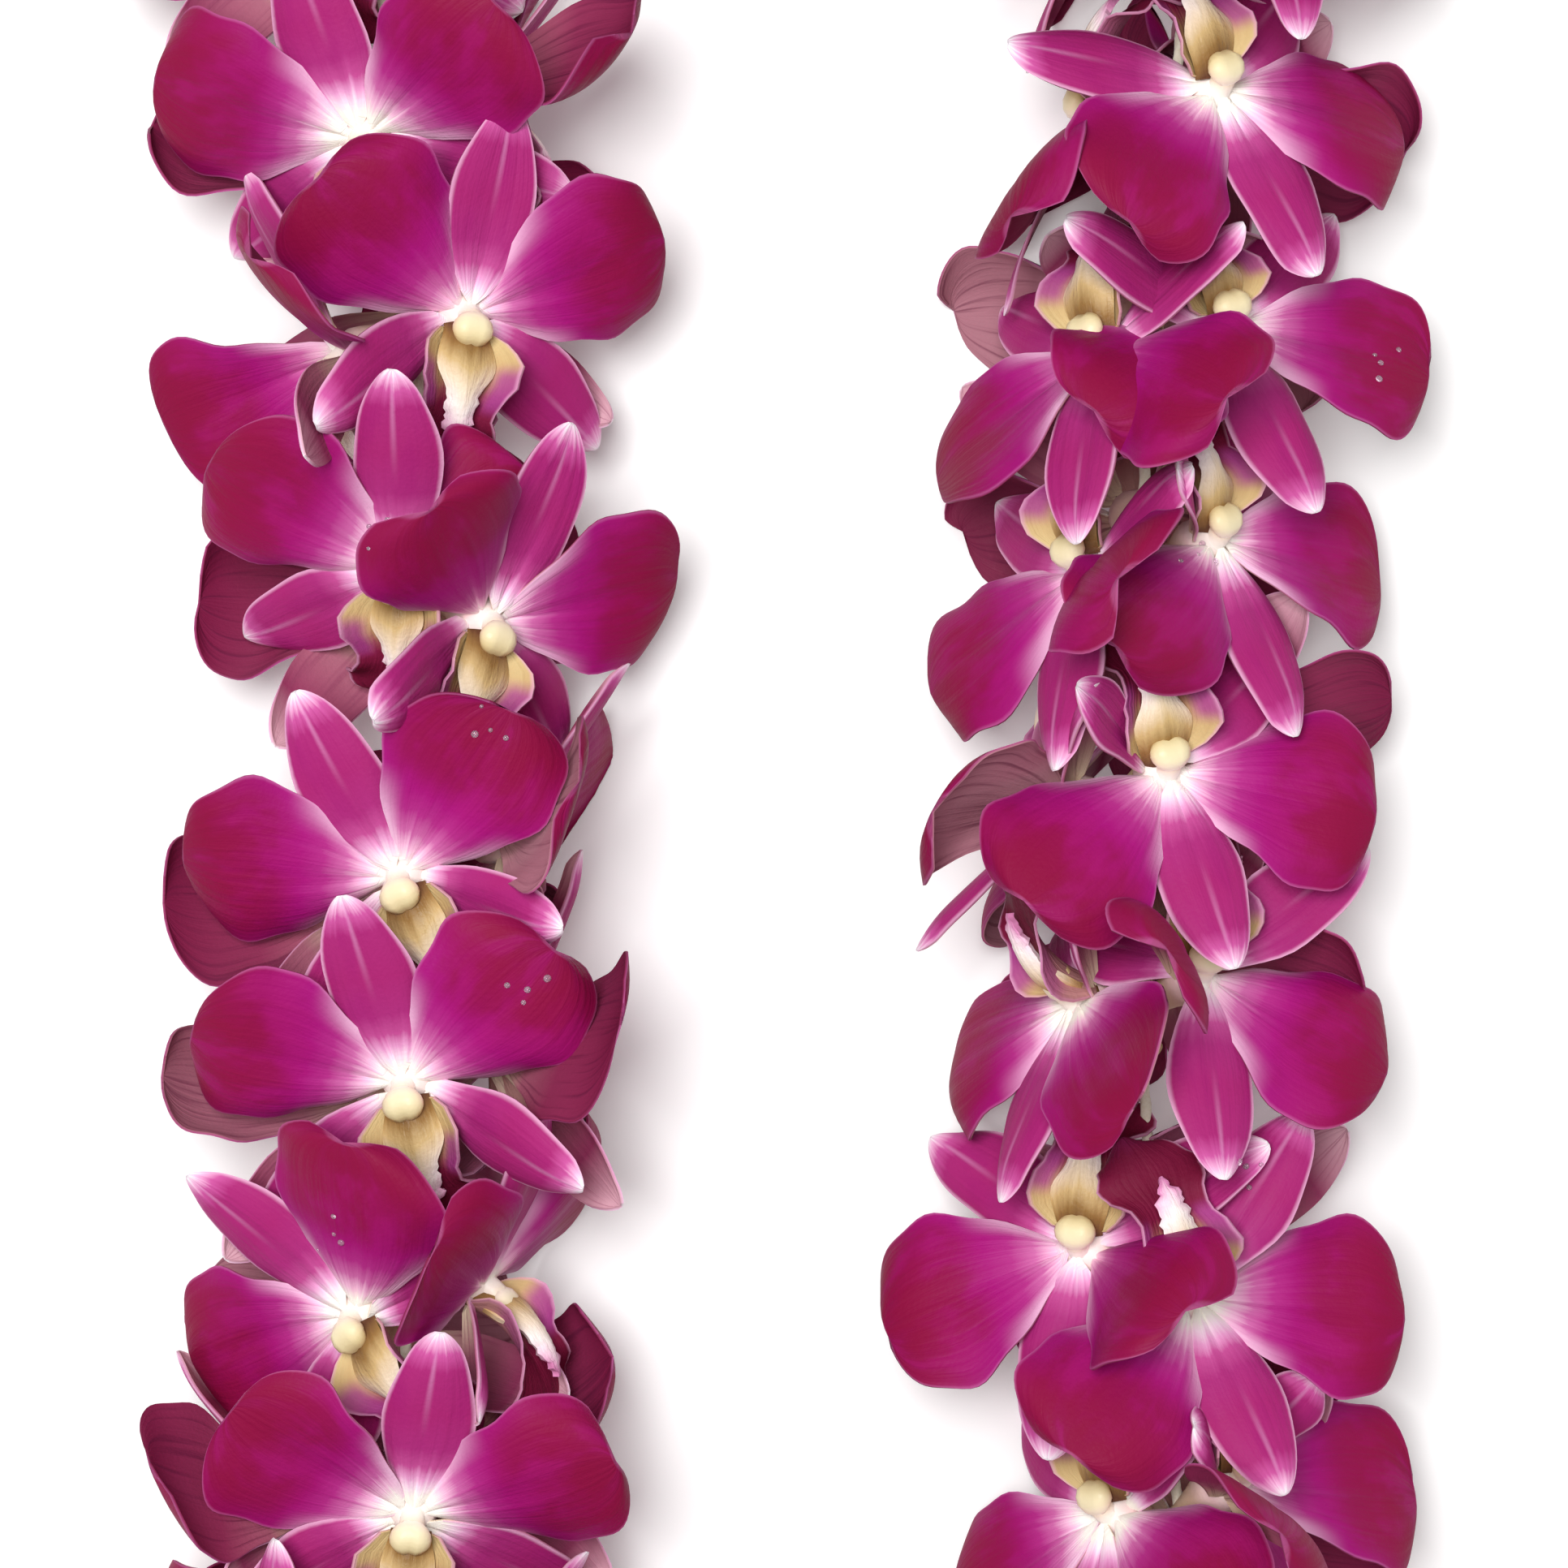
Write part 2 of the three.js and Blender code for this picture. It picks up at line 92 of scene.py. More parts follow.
def new_finish(name, roughness, specular, others=None):
    """A material with the constants of its surface. others maps a socket to a number or a hex colour."""
    material = bpy.data.materials.new(name)
    material.use_nodes = True
    surface = material.node_tree.nodes["Principled BSDF"]
    constants = {"Roughness": roughness, "Specular IOR Level": specular, **(others or {})}
    for socket, value in constants.items():
        surface.inputs[socket].default_value = linear(value) if isinstance(value, str) else value
    return material


def add_object(name, shape, scale=1.0):
    """Makes an object of a bmesh shape and puts it into the scene at the origin."""
    bmesh.ops.scale(shape, vec=(scale, scale, scale), verts=shape.verts)
    piece = bpy.data.objects.new(name, bpy.data.meshes.new(name))
    shape.to_mesh(piece.data)
    shape.free()
    bpy.context.scene.collection.objects.link(piece)
    return piece


shape = bmesh.new()
bmesh.ops.create_grid(shape, x_segments=1, y_segments=1, size=FLOOR_SIDE / 2)
floor = add_object("floor", shape)

# the emission is a painted glow that keeps the shadows on the paper pale
painted_glow = {"Base Color": "#fbfbfa", "Emission Color": "#ffffff", "Emission Strength": PAPER_PAINTED_GLOW}
floor.data.materials.append(new_finish("white_paper_matt", 0.9, 0.0, painted_glow))
print("floor side in m:", FLOOR_SIDE)

# %% [markdown]
# ## The light
#
# One broad light high up at the top left gives the petals their soft shading, and an even white sky fills the
# shadows between them. The Standard view keeps magenta as strong as it is on the flower: a filmic view would
# turn it greyish.

# %% Sky and one broad light
SKY_STRENGTH = 0.42
KEY_PLACE = Vector((-0.14, 0.12, 1.0))
KEY_WATTS = 9.5
KEY_SIDE = 0.4

sky = bpy.data.worlds.new("studio_sky")
sky.use_nodes = True
sky.node_tree.nodes["Background"].inputs["Color"].default_value = (1, 1, 1, 1)
sky.node_tree.nodes["Background"].inputs["Strength"].default_value = SKY_STRENGTH
bpy.context.scene.world = sky

key = bpy.data.objects.new("key_light", bpy.data.lights.new("key_light", "AREA"))
key.data.energy = KEY_WATTS
key.data.size = KEY_SIDE
key.location = KEY_PLACE
key.rotation_mode = "QUATERNION"
key.rotation_quaternion = (-KEY_PLACE).to_track_quat("-Z", "Y")
bpy.context.scene.collection.objects.link(key)
bpy.context.scene.view_settings.view_transform = "Standard"
print("light:", KEY_WATTS, "W at", round(KEY_PLACE.length, 2), "m, sky", SKY_STRENGTH)

# %% [markdown]
# ## The thread's route
#
# Everything hangs on the thread, so its route comes first. It is four arcs: two long sides that bow in a
# little and two round ends. The function below walks along it, and gives the place, the way ahead and the
# side that faces the middle of the loop. Lengths are in millimetres here, because a flower is measured so,
# and turn into metres when a mesh is finished.

# %% Walking along the thread
WAIST_HALF = 49.5
SIDE_RADIUS = 900
END_RADIUS = 59
THREAD_HEIGHT = 24
ROUTE_MIDDLE = (0.8, -0.7)
UP = Vector((0, 0, 1))

SIDE_CENTRE = WAIST_HALF + SIDE_RADIUS
END_CENTRE = math.sqrt((SIDE_RADIUS + END_RADIUS) ** 2 - SIDE_CENTRE**2)
SIDE_ANGLE = math.atan2(END_CENTRE, SIDE_CENTRE)
SIDE_LENGTH = 2 * SIDE_RADIUS * SIDE_ANGLE
END_LENGTH = (math.pi + 2 * SIDE_ANGLE) * END_RADIUS
HALF_LOOP = SIDE_LENGTH + END_LENGTH


def on_loop(station):
    """The thread's point, direction and inward side, so many millimetres from the left side's waist."""
    halves = math.floor(station / HALF_LOOP)
    along = station - halves * HALF_LOOP
    flip = -1 if halves % 2 else 1
    if along < SIDE_LENGTH / 2:
        a = along / SIDE_RADIUS
        x, y = -SIDE_CENTRE + SIDE_RADIUS * math.cos(a), SIDE_RADIUS * math.sin(a)
        dx, dy = -math.sin(a), math.cos(a)
    elif along < SIDE_LENGTH / 2 + END_LENGTH:
        a = math.pi + SIDE_ANGLE - (along - SIDE_LENGTH / 2) / END_RADIUS
        x, y = END_RADIUS * math.cos(a), END_CENTRE + END_RADIUS * math.sin(a)
        dx, dy = math.sin(a), -math.cos(a)
    else:
        a = (HALF_LOOP - along) / SIDE_RADIUS
        x, y = SIDE_CENTRE - SIDE_RADIUS * math.cos(a), SIDE_RADIUS * math.sin(a)
        dx, dy = -math.sin(a), -math.cos(a)
    point = Vector((ROUTE_MIDDLE[0] + flip * x, ROUTE_MIDDLE[1] + flip * y, THREAD_HEIGHT))
    way = Vector((flip * dx, flip * dy, 0))
    return point, way, way.cross(UP)


print("thread length in mm:", round(2 * HALF_LOOP, 1))

# %% [markdown]
# ## Where each bloom sits
#
# The blooms are strung in whorls of three. One of each whorl faces up, and its two neighbours face out and
# down round the thread. On the long sides the front bloom of each whorl is placed from the picture: how far
# it is moved along the thread, the clock angle that it leaves the thread at, the clock angle that it faces,
# and its roll. Clock 0 is up and 90 is towards the middle of the loop. The rest get a small unevenness from
# the golden ratio, which never repeats and comes out the same on every run.

# %% The whorls along the thread
SIDE_WHORLS = 7
END_WHORLS = 7
SIDE_PITCH = 31.4
SIDE_PHASE = 3
NECK_STEP = 4.2
SIDE_CLOCK = 114
TILT = 30
NECK_LENGTH = 12.5
NECK_TAIL = 2.5

LEFT_FRONTS = (
    (-3, 22, 4, 0),
    (-8, -40, -16, 46),
    (-7, -10, 0, 17),
    (-10, -18, 0, 28),
    (-2.4, 54, 30, -19),
    (4, 46, 18, -13),
    (-1, -25, -12, 5),
)
RIGHT_FRONTS = (
    (1, -29, -20, 25),
    (1.6, -68, -10, 21),
    (0, -62, -32, 20),
    (1, -17, -8, 14),
    (-2.4, -44, -20, -5),
    (7.4, 72, 14, -10),
    (10, 72, 44, 0),
)
SECOND_FRONTS = {4: (-16, -12, -7), 19: (-22, -8, 17)}
print("fronts placed by hand:", len(LEFT_FRONTS + RIGHT_FRONTS) + len(SECOND_FRONTS))

# %% [markdown]
# The whorls round the two ends are out of the picture. They are evenly spaced, with the same small unevenness
# in how they are turned.

# %% From the fronts to whole whorls
GOLDEN = 0.618034
PURPOSE_STEP = 0.37
END_CLOCK = -22  # degrees, the middle of what the front blooms round the ends are turned by
END_CLOCK_RANGE = 50
END_ROLL_RANGE = 40
CLOCK_RANGE = 14
ROLL_RANGE = 30


def uneven(i, k):
    """The same small unevenness every time: between -0.5 and 0.5 for bloom i and purpose k."""
    x = i * GOLDEN + k * PURPOSE_STEP
    return x - math.floor(x) - 0.5


def side_place(half, j):
    """Station, clock, face and roll of the front bloom of a whorl on a long side."""
    shift, clock, face, roll = (RIGHT_FRONTS if half % 2 else LEFT_FRONTS)[j]
    station = half * HALF_LOOP + SIDE_PHASE + (j - (SIDE_WHORLS - 1) / 2) * SIDE_PITCH + shift
    return station, clock, face, roll


def whorl_place(w):
    """The same for any whorl."""
    half, j = divmod(w, SIDE_WHORLS + END_WHORLS)
    if j < SIDE_WHORLS:
        return side_place(half, j)
    before = side_place(half, SIDE_WHORLS - 1)[0]
    after = side_place(half + 1, 0)[0]
    share = (j - SIDE_WHORLS + 1) / (END_WHORLS + 1)
    clock = END_CLOCK + END_CLOCK_RANGE * uneven(w, 1)
    return before + (after - before) * share, clock, clock, END_ROLL_RANGE * uneven(w, 2)


def side_bloom(i, clock):
    """A bloom further round its whorl: clock, face and roll."""
    turn = clock + CLOCK_RANGE * uneven(i, 3)
    return turn, turn, ROLL_RANGE * uneven(i, 4)


print("pitch round the ends in mm:", round(whorl_place(8)[0] - whorl_place(7)[0], 1))

# %% [markdown]
# A bloom faces out from the thread at its clock angle, and leans forward along it. Its face stands off the
# thread by the length of its neck. The neck keeps the clock angle that it leaves the thread at, while the
# face may turn to another.

# %% The axes of each bloom
TILT_RANGE = 8


def bloom_axes(station, clock, tilt, roll=0.0):
    """A bloom's own axes: x to its right, y to its upper sepal, z the way that it faces."""
    point, way, inward = on_loop(station)
    out = inward * math.sin(math.radians(clock)) + UP * math.cos(math.radians(clock))
    lean, stand = math.sin(math.radians(tilt)), math.cos(math.radians(tilt))
    facing = out * stand - way * lean
    upper = Quaternion(facing, math.radians(roll)) @ (out * lean + way * stand)
    axes = Matrix((upper.cross(facing), upper, facing)).transposed().to_4x4()
    axes.translation = point + facing * NECK_LENGTH
    return axes


def whorl_blooms(w):
    """The three blooms of a whorl as pairs of axes: the neck's and the face's, with one centre."""
    station, clock, face, roll = whorl_place(w)
    also = SECOND_FRONTS.get(w)
    around = (clock + also[0]) / 2 + 180 if also else clock - SIDE_CLOCK
    second = also or side_bloom(3 * w + 1, clock + SIDE_CLOCK)
    places = (-1, 1, 0) if also else (0, 1, -1)
    blooms = []
    for m, (turn, look, rolled) in enumerate([(clock, face, roll), second, side_bloom(3 * w + 2, around)]):
        tilt = TILT + TILT_RANGE * uneven(3 * w + m, 5)
        at = station + places[m] * NECK_STEP
        neck = bloom_axes(at, turn, tilt)
        axes = bloom_axes(at, look, tilt, rolled)
        axes.translation = neck.translation
        blooms.append((neck, axes))
    return blooms


# How far the tips of some blades of the front blooms bend aside in the picture, in mm, anticlockwise on the
# bloom. The key is the whorl, the bloom in it, and the blade, counted anticlockwise from the upper sepal.
BENT_ASIDE = {
    (1, 0, 0): 3.0,
    (1, 0, 1): 4.5,
    (1, 0, 5): 5.0,
    (16, 0, 5): -5.0,
    (16, 0, 0): -2.0,
    (15, 0, 5): -3.0,
}

WHORLS = [whorl_blooms(w) for w in range(2 * (SIDE_WHORLS + END_WHORLS))]
print("blooms:", sum(len(blooms) for blooms in WHORLS))

# %% [markdown]
# ## Reading the pose of each blade
#
# A dendrobium has six blades: an upper sepal, two broad petals, two side sepals and a lip. In the solid model
# each blade is folded at its base, or stays a little smaller, where it would run into its neighbours. Those
# poses aren't written down anywhere, but a blade's tip tells them: the formula below gives the tip for every
# pose that the solid model may use, and the one that lands on a corner of the solid is the blade's pose.

# %% The six blades and their poses
HUB_RADIUS = 3.2
PETAL = dict(kind="petal", reach=27, half=13, rise=8, curl=-16, cup=-1.2, thick=0.35)
SEPAL = dict(kind="sepal", reach=27, half=6.4, rise=-4, curl=-8, cup=-0.8, thick=0.35)
LIP = dict(kind="lip", reach=22, half=6.4, rise=38, curl=-78, cup=4, thick=0.42)
BLADES = (
    dict(SEPAL, azimuth=90),
    dict(PETAL, azimuth=150),
    dict(SEPAL, azimuth=212),
    dict(LIP, azimuth=270),
    dict(SEPAL, azimuth=328),
    dict(PETAL, azimuth=30),
)
LIP_BLADE = 3
FOLDS = (0, 7, -7, 14, -14, 21, -21, 28, -28, 35, -35, 42, -42, 49, -49, 56, 63)
SCALES = (1, 0.86, 0.72, 0.6)


def midline(blade, fold, scale, t):
    """The middle of a blade at t along it: how far out it is, how far forward, and its slope."""
    reach = blade["reach"] * scale
    start, turn = math.radians(blade["rise"] + fold), math.radians(blade["curl"])
    slope = start + turn * t
    out = HUB_RADIUS + reach / turn * (math.sin(slope) - math.sin(start))
    forward = reach / turn * (math.cos(start) - math.cos(slope))
    return out, forward, slope


def blade_axes(blade, slope):
    """Unit vectors in the bloom's axes, for a blade's slope: along it, across it and out of its face."""
    c, s = math.cos(math.radians(blade["azimuth"])), math.sin(math.radians(blade["azimuth"]))
    along = Vector((c * math.cos(slope), s * math.cos(slope), math.sin(slope)))
    normal = Vector((-c * math.sin(slope), -s * math.sin(slope), math.cos(slope)))
    return along, Vector((-s, c, 0)), normal


def tip_of(blade, fold, scale):
    """The pose, and the tip's place and normal in the bloom's axes."""
    out, forward, slope = midline(blade, fold, scale, 1)
    c, s = math.cos(math.radians(blade["azimuth"])), math.sin(math.radians(blade["azimuth"]))
    return (fold, scale), Vector((out * c, out * s, forward)), blade_axes(blade, slope)[2]


TIPS = [[tip_of(blade, fold, scale) for scale in SCALES for fold in FOLDS] for blade in BLADES]


def tip_corners(axes, place, normal, thick):
    """Front and back of a blade's tip in the world. A tip that would sink below the surface lies on it."""
    point, normal = axes @ place, axes.to_3x3() @ normal
    if point.z < thick:
        point.z = thick
        normal = -UP if normal.z < 0 else UP
    return point + normal * thick, point - normal * thick


print("poses tried for a blade:", len(TIPS[0]))

# %% [markdown]
# The search looks up the nearest corner of the solid in a k-d tree, once for the front and once for the back
# of each possible tip. The true pose lands on two corners almost exactly.

# %% Finding the pose of each blade
def read_poses(w):
    """For each bloom of a whorl, the fold and scale of its six blades, and the worst miss in millimetres."""
    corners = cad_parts[f"blooms_{w + 1:02d}"].data.vertices
    tree = KDTree(len(corners))
    for i, corner in enumerate(corners):
        tree.insert(corner.co / MM, i)
    tree.balance()
    poses, worst = [], 0.0
    for _, axes in WHORLS[w]:
        found = []
        for blade, tips in zip(BLADES, TIPS):
            misses = []
            for pose, place, normal in tips:
                front, back = tip_corners(axes, place, normal, blade["thick"])
                misses.append((tree.find(front)[2] + tree.find(back)[2], pose))
            miss, pose = min(misses)
            worst = max(worst, miss)
            found.append(pose)
        poses.append(found)
    return poses, worst


POSES, MISSES = zip(*[read_poses(w) for w in range(len(WHORLS))])
print("worst miss of a blade's tip in mm:", round(max(MISSES), 3))

# %% [markdown]
# ## A blade from a flat grid
#
# A petal or sepal is a thin, gently curved sheet. It could be sculpted by hand, but 504 of them are wanted,
# no two alike. So each starts as a flat grid from a bmesh operator, and a formula moves its vertices: rows go
# along the bent midline of the pose, and columns spread to the outline of the blade. Four numbers stay with
# each vertex for the finish: how far along the blade it is, how far across, whether it is on the back, and
# the tone of its bloom.

# %% Outline and relief of a blade
ROOT = 0.07  # how far a blade starts inside the hub, as a share of its reach
NUMBERS = ("along", "across", "back", "tone")


def peaked(s, rise, fall):
    """A width that is 0 at both ends and 1 at its widest."""
    peak = rise / (rise + fall)
    return (max(s, 0) / peak) ** rise * (max(1 - s, 0) / (1 - peak)) ** fall


def stepped(s, stops):
    """A smooth line through a few places and values."""
    for (s0, v0), (s1, v1) in zip(stops, stops[1:]):
        if s <= s1:
            x = (s - s0) / (s1 - s0)
            return v0 + (v1 - v0) * x * x * (3 - 2 * x)
    return stops[-1][1]


def lesser(a, b):
    """The lesser of two widths, with a rounded corner between them."""
    return (max(a, 1e-3) ** -6 + max(b, 1e-3) ** -6) ** (-1 / 6)


LIP_WIDTH = ((0, 0.8), (0.24, 1.12), (0.5, 0.82), (0.74, 1.2), (0.9, 0.9), (1, 0.5))
LIP_CUP = ((0, 1.5), (0.26, 5.5), (0.5, 2.0), (0.76, -1.4), (1, -2.4))
LIP_BLUNT = 1.2  # more than 1 makes the ends of the lip blunt
OUTLINES = {"petal": (0.85, 0.4), "sepal": (0.5, 0.62), "lip": (0.3, 0.3)}  # the rise and fall of each width
HUB_CORE = 0.4
print("a petal is widest at", round(OUTLINES["petal"][0] / sum(OUTLINES["petal"]), 2), "of its length")

# %% [markdown]
# Each kind of blade has its own form: a petal is broad and softly waved, a sepal is narrow and firmer, and
# the lip stands up in side lobes, narrows and spreads again.

# %% Forms of petal, sepal and lip
# Rows and columns of the grid. In mm: the sheet's thickness, how far its margins wave up and down, how deep
# the crease at its base is, how far its face swells, and how far its rim and its tip curl back. cycles counts
# the waves, frill is a share of the width, and sector is half the angle that a blade may fill.
FORMS = {
    "petal": dict(rows=26, columns=18, sheet=0.4, wave=1.7, cycles=1.3, frill=0.035, sector=44),
    "sepal": dict(rows=20, columns=10, sheet=0.45, wave=0.6, cycles=0.9, frill=0.03, sector=30),
    "lip": dict(rows=28, columns=18, sheet=0.4, wave=0.9, cycles=3.6, frill=0.03, sector=62),
}
FORMS["petal"].update(crease=0.7, swell=0.8, roll=1.3, hook=1.4)
FORMS["sepal"].update(crease=0.6, swell=0.2, roll=0.5, hook=0.9)
FORMS["lip"].update(crease=0.5, swell=0.0, roll=0.0, hook=0.0)
print("kinds of blade:", *FORMS)


def half_width(blade, out, s):
    """Half the width of a blade at s along it, held inside its own sector of the bloom."""
    kind = blade["kind"]
    full = peaked(s, *OUTLINES[kind])
    if kind == "lip":
        full = stepped(s, LIP_WIDTH) * min(1, full * LIP_BLUNT)
    sector = math.radians(FORMS[kind]["sector"])
    return lesser(blade["half"] * full, max(out, HUB_CORE) * math.tan(sector))


# %% [markdown]
# The next function holds a blade's whole shape. The middle of a row comes from the pose, the points of the
# row lie across it, and what lifts them off the flat sheet is summed up: cup, waves, swell, rolled rim,
# hooked tip and crease. The lift across a row fades out at the root and at the tip, so that all points of the
# first row meet in one, and those of the last row too.

# %% The shape of a blade
FADE = 0.05  # the share of the blade's length over which the lift rises at the root
ROLL_FROM = 0.55  # the share of the half width where the rim starts to roll back
HOOK_FROM = 0.74  # the share of the length where the tip starts to curl back
CREASE_HALF = 0.13  # as a share of the half width
SWELL_TURN = 2.6
FRILL_RATE = 2.3  # how many frills come with one wave
DIFFER = dict(cup=1.8, droop=3.4, sway=2.4, twist=20, lopsided=0.3, curl=1.6)  # in mm, degrees or shares


def blade_place(blade, pose, key, axes, aside):
    """Gives place(s, v): the sheet's point in mm, s from 0 to 1 along the blade, v from -1 to 1 across it."""
    form = FORMS[blade["kind"]]
    cup = blade["cup"] + DIFFER["cup"] * uneven(key, 9)
    droop = DIFFER["droop"] * uneven(key, 10)
    sway = DIFFER["sway"] * uneven(key, 11) + aside
    twist = math.radians(DIFFER["twist"] * uneven(key, 6))
    lopsided = DIFFER["lopsided"] * uneven(key, 14)
    roll = form["roll"] * (1 + DIFFER["curl"] * uneven(key, 15))
    hook = form["hook"] * (1 + DIFFER["curl"] * uneven(key, 16))
    phases = [2 * math.pi * uneven(key, 7 + side) for side in (0, 1)]
    rows = {}

    def row(s):
        t = s * (1 + ROOT) - ROOT
        out, forward, slope = midline(blade, *pose, t)
        along, across, normal = blade_axes(blade, slope)
        x, y = along.x / math.cos(slope), along.y / math.cos(slope)
        middle = Vector((out * x, out * y, forward)) + across * (sway * s * s) + normal * (droop * s**3)
        turned = across * math.cos(twist * s) + normal * math.sin(twist * s)
        half = half_width(blade, out, s)
        relief = min(1, s / FADE) if s < 0.5 else min(1, 2 * half / blade["half"])
        return middle, turned * half, normal, relief

    def place(s, v):
        if s not in rows:
            rows[s] = row(s)
        middle, wide, normal, relief = rows[s]
        lift = cup * v * v
        if blade["kind"] == "lip":
            lift = stepped(s, LIP_CUP) * v * v
        ripple = 2 * math.pi * form["cycles"] * s + phases[v > 0]
        lift += form["wave"] * abs(v) ** 3 * math.sin(ripple) * s
        lift += form["swell"] * math.sin(SWELL_TURN * v + phases[0]) * math.sin(math.pi * s)
        lift -= roll * max(0, (abs(v) - ROLL_FROM) / (1 - ROLL_FROM)) ** 2 * s
        lift *= relief
        lift -= hook * max(0, (s - HOOK_FROM) / (1 - HOOK_FROM)) ** 2
        lift -= form["crease"] * math.exp(-((v / CREASE_HALF) ** 2)) * (1 - s) * min(1, s / FADE)
        frill = form["frill"] * math.sin(FRILL_RATE * ripple + phases[0]) * v * v
        skew = v * (1 + lopsided * v * math.sin(math.pi * s) + frill)
        return axes @ (middle + wide * skew + normal * lift)

    return place


# %% [markdown]
# The lowest petals of the lei press on the surface that it lies on. So a blade that the formula would take
# below the surface bends along it in a soft curve instead, and spreads outwards. Each lies at a slightly
# different height there, so that two petals that meet lie one over the other.

# %% Laying a blade on the surface
SETTLE = 3.0  # mm above the surface, where a blade starts to bend along it
SPREAD = 0.4  # how far it moves out, as a share of what would have gone below
LAYERS = 1.2  # mm between the lowest and the highest that lie on the surface


def settled(point, root, rest):
    """A point of a blade, bent along the surface where it would go below rest."""
    height = point.z - rest
    if height >= SETTLE:
        return point
    laid = max(height + SETTLE, 0) ** 2 / (4 * SETTLE)
    away = Vector((point.x - root.x, point.y - root.y, 0)).normalized()
    return Vector((point.x, point.y, rest + laid)) + away * (SPREAD * (laid - height))


# %% [markdown]
# The faces of a closed shell have to point outwards. The operator that turns them guesses wrong on a few thin
# sheets that are folded. The volume inside settles it: it comes out below 0 where the faces point inwards.

# %% Ending a closed shell
def volume_inside(faces, about):
    """The signed volume inside closed faces, added up from pyramids with their tops at one point."""
    total = 0.0
    for face in faces:
        corner, *others = [vert.co - about for vert in face.verts]
        total += sum(corner.dot(a.cross(b)) for a, b in zip(others, others[1:])) / 6
    return total


def end_shell(shape, first, about, material):
    """Turns the faces from number first on outwards, with their material and smooth shading."""
    shape.faces.ensure_lookup_table()
    faces = shape.faces[first:]
    bmesh.ops.recalc_face_normals(shape, faces=faces)
    if volume_inside(faces, about) < 0:
        bmesh.ops.reverse_faces(shape, faces=faces)
    for face in faces:
        face.material_index = material
        face.smooth = True
    return faces


# %% [markdown]
# Solidify thickens the sheet to one side, and at a sharp tip it throws corners far out. So the operator only
# makes the second layer and the rim here. Both layers are then set half a thickness off the sheet along its
# own normals. Where a sheet is folded flat on itself they cancel out, and one face's normal is taken.

# %% Making one sheet
ROW_CROWD = 1.7  # more than 1 crowds the rows towards the tip, where the outline turns most
MERGE = 0.02  # mm, points closer than this become one
FLAT_FOLD = 0.1  # the length of a sum of normals that has cancelled out


def new_shape():
    """An empty bmesh with the four numbers on its vertices."""
    shape = bmesh.new()
    for number in NUMBERS:
        shape.verts.layers.float.new(number)
    return shape


def add_sheet(shape, place, rows, columns, thickness, tone, material, layer_height=0.0):
    """A grid whose vertices go where place(s, v) says, thickened by half to each side."""
    layers = [shape.verts.layers.float[number] for number in NUMBERS]
    root, rest = place(0, 0), thickness / 2 + layer_height
    first = len(shape.faces)
    grid = bmesh.ops.create_grid(shape, x_segments=rows, y_segments=columns, size=0.5)["verts"]
    for vert in grid:
        s, v = 1 - (0.5 - vert.co.x) ** ROW_CROWD, 2 * vert.co.y
        vert.co = settled(place(s, v), root, rest)
        for layer, value in zip(layers, (s, v, 0, tone)):
            vert[layer] = value
    bmesh.ops.remove_doubles(shape, verts=grid, dist=MERGE)
    shape.faces.ensure_lookup_table()
    front = shape.faces[first:]
    for face in front:
        face.normal_update()
    lifts = {}
    for vert in {vert for face in front for vert in face.verts}:
        normal = sum((face.normal for face in vert.link_faces), Vector())
        if normal.length < FLAT_FOLD:
            normal = vert.link_faces[0].normal
        normal = normal.normalized()
        lifts[vert[layers[0]], vert[layers[1]]] = vert.co.copy(), normal * thickness / 2
        vert.co += normal * thickness / 2
    for item in bmesh.ops.solidify(shape, geom=front, thickness=thickness)["geom"]:
        if isinstance(item, bmesh.types.BMVert):
            middle, lift = lifts[item[layers[0]], item[layers[1]]]
            item.co = middle - lift
            item[layers[2]] = 1
    for face in end_shell(shape, first, root, material):
        for vert in face.verts:
            vert.co.z = max(vert.co.z, 0)


# %% [markdown]
# ## Round pieces from a ring
#
# The column, the neck and the thread are all round and follow a line. Each starts as one ring of vertices.
# Extruding the ring's edges and transforming the new ring, again and again, draws it out along the line.

# %% Drawing a ring along a line
def add_tube(shape, line, radii, sides, tone, material, flat=1.0, twist=0.0, lobes=0.0):
    """A closed tube along a line of points, with a radius for each. flat squeezes its section."""
    layers = [shape.verts.layers.float[number] for number in NUMBERS]
    first = len(shape.faces)
    heads = [(b - a).normalized() for a, b in zip(line, line[1:])]
    heads = [heads[0], *[(a + b).normalized() for a, b in zip(heads, heads[1:])], heads[-1]]
    turn = UP.rotation_difference(heads[0]).to_matrix()
    ring = bmesh.ops.create_circle(shape, cap_ends=False, segments=sides, radius=1)["verts"]
    for i, vert in enumerate(ring):
        vert.co *= 1 + (lobes if i % 3 == 0 else 0)
    edges = list(dict.fromkeys(edge for vert in ring for edge in vert.link_edges))
    bmesh.ops.contextual_create(shape, geom=edges)
    place = Matrix.Identity(4)
    for i, (point, head, radius) in enumerate(zip(line, heads, radii)):
        if i:
            turn = heads[i - 1].rotation_difference(head).to_matrix() @ turn
            made = bmesh.ops.extrude_edge_only(shape, edges=edges)["geom"]
            ring = [item for item in made if isinstance(item, bmesh.types.BMVert)]
            edges = [item for item in made if isinstance(item, bmesh.types.BMEdge)]
        size = Matrix.Diagonal((radius, radius * flat, radius, 1))
        target = Matrix.Translation(point) @ turn.to_4x4() @ Matrix.Rotation(twist * i, 4, "Z") @ size
        bmesh.ops.transform(shape, matrix=target @ place.inverted(), verts=ring)
        place = target
        for vert in ring:
            for layer, value in zip(layers, (i / (len(line) - 1), 0, 0, tone)):
                vert[layer] = value
    bmesh.ops.contextual_create(shape, geom=edges)
    end_shell(shape, first, line[0], material)


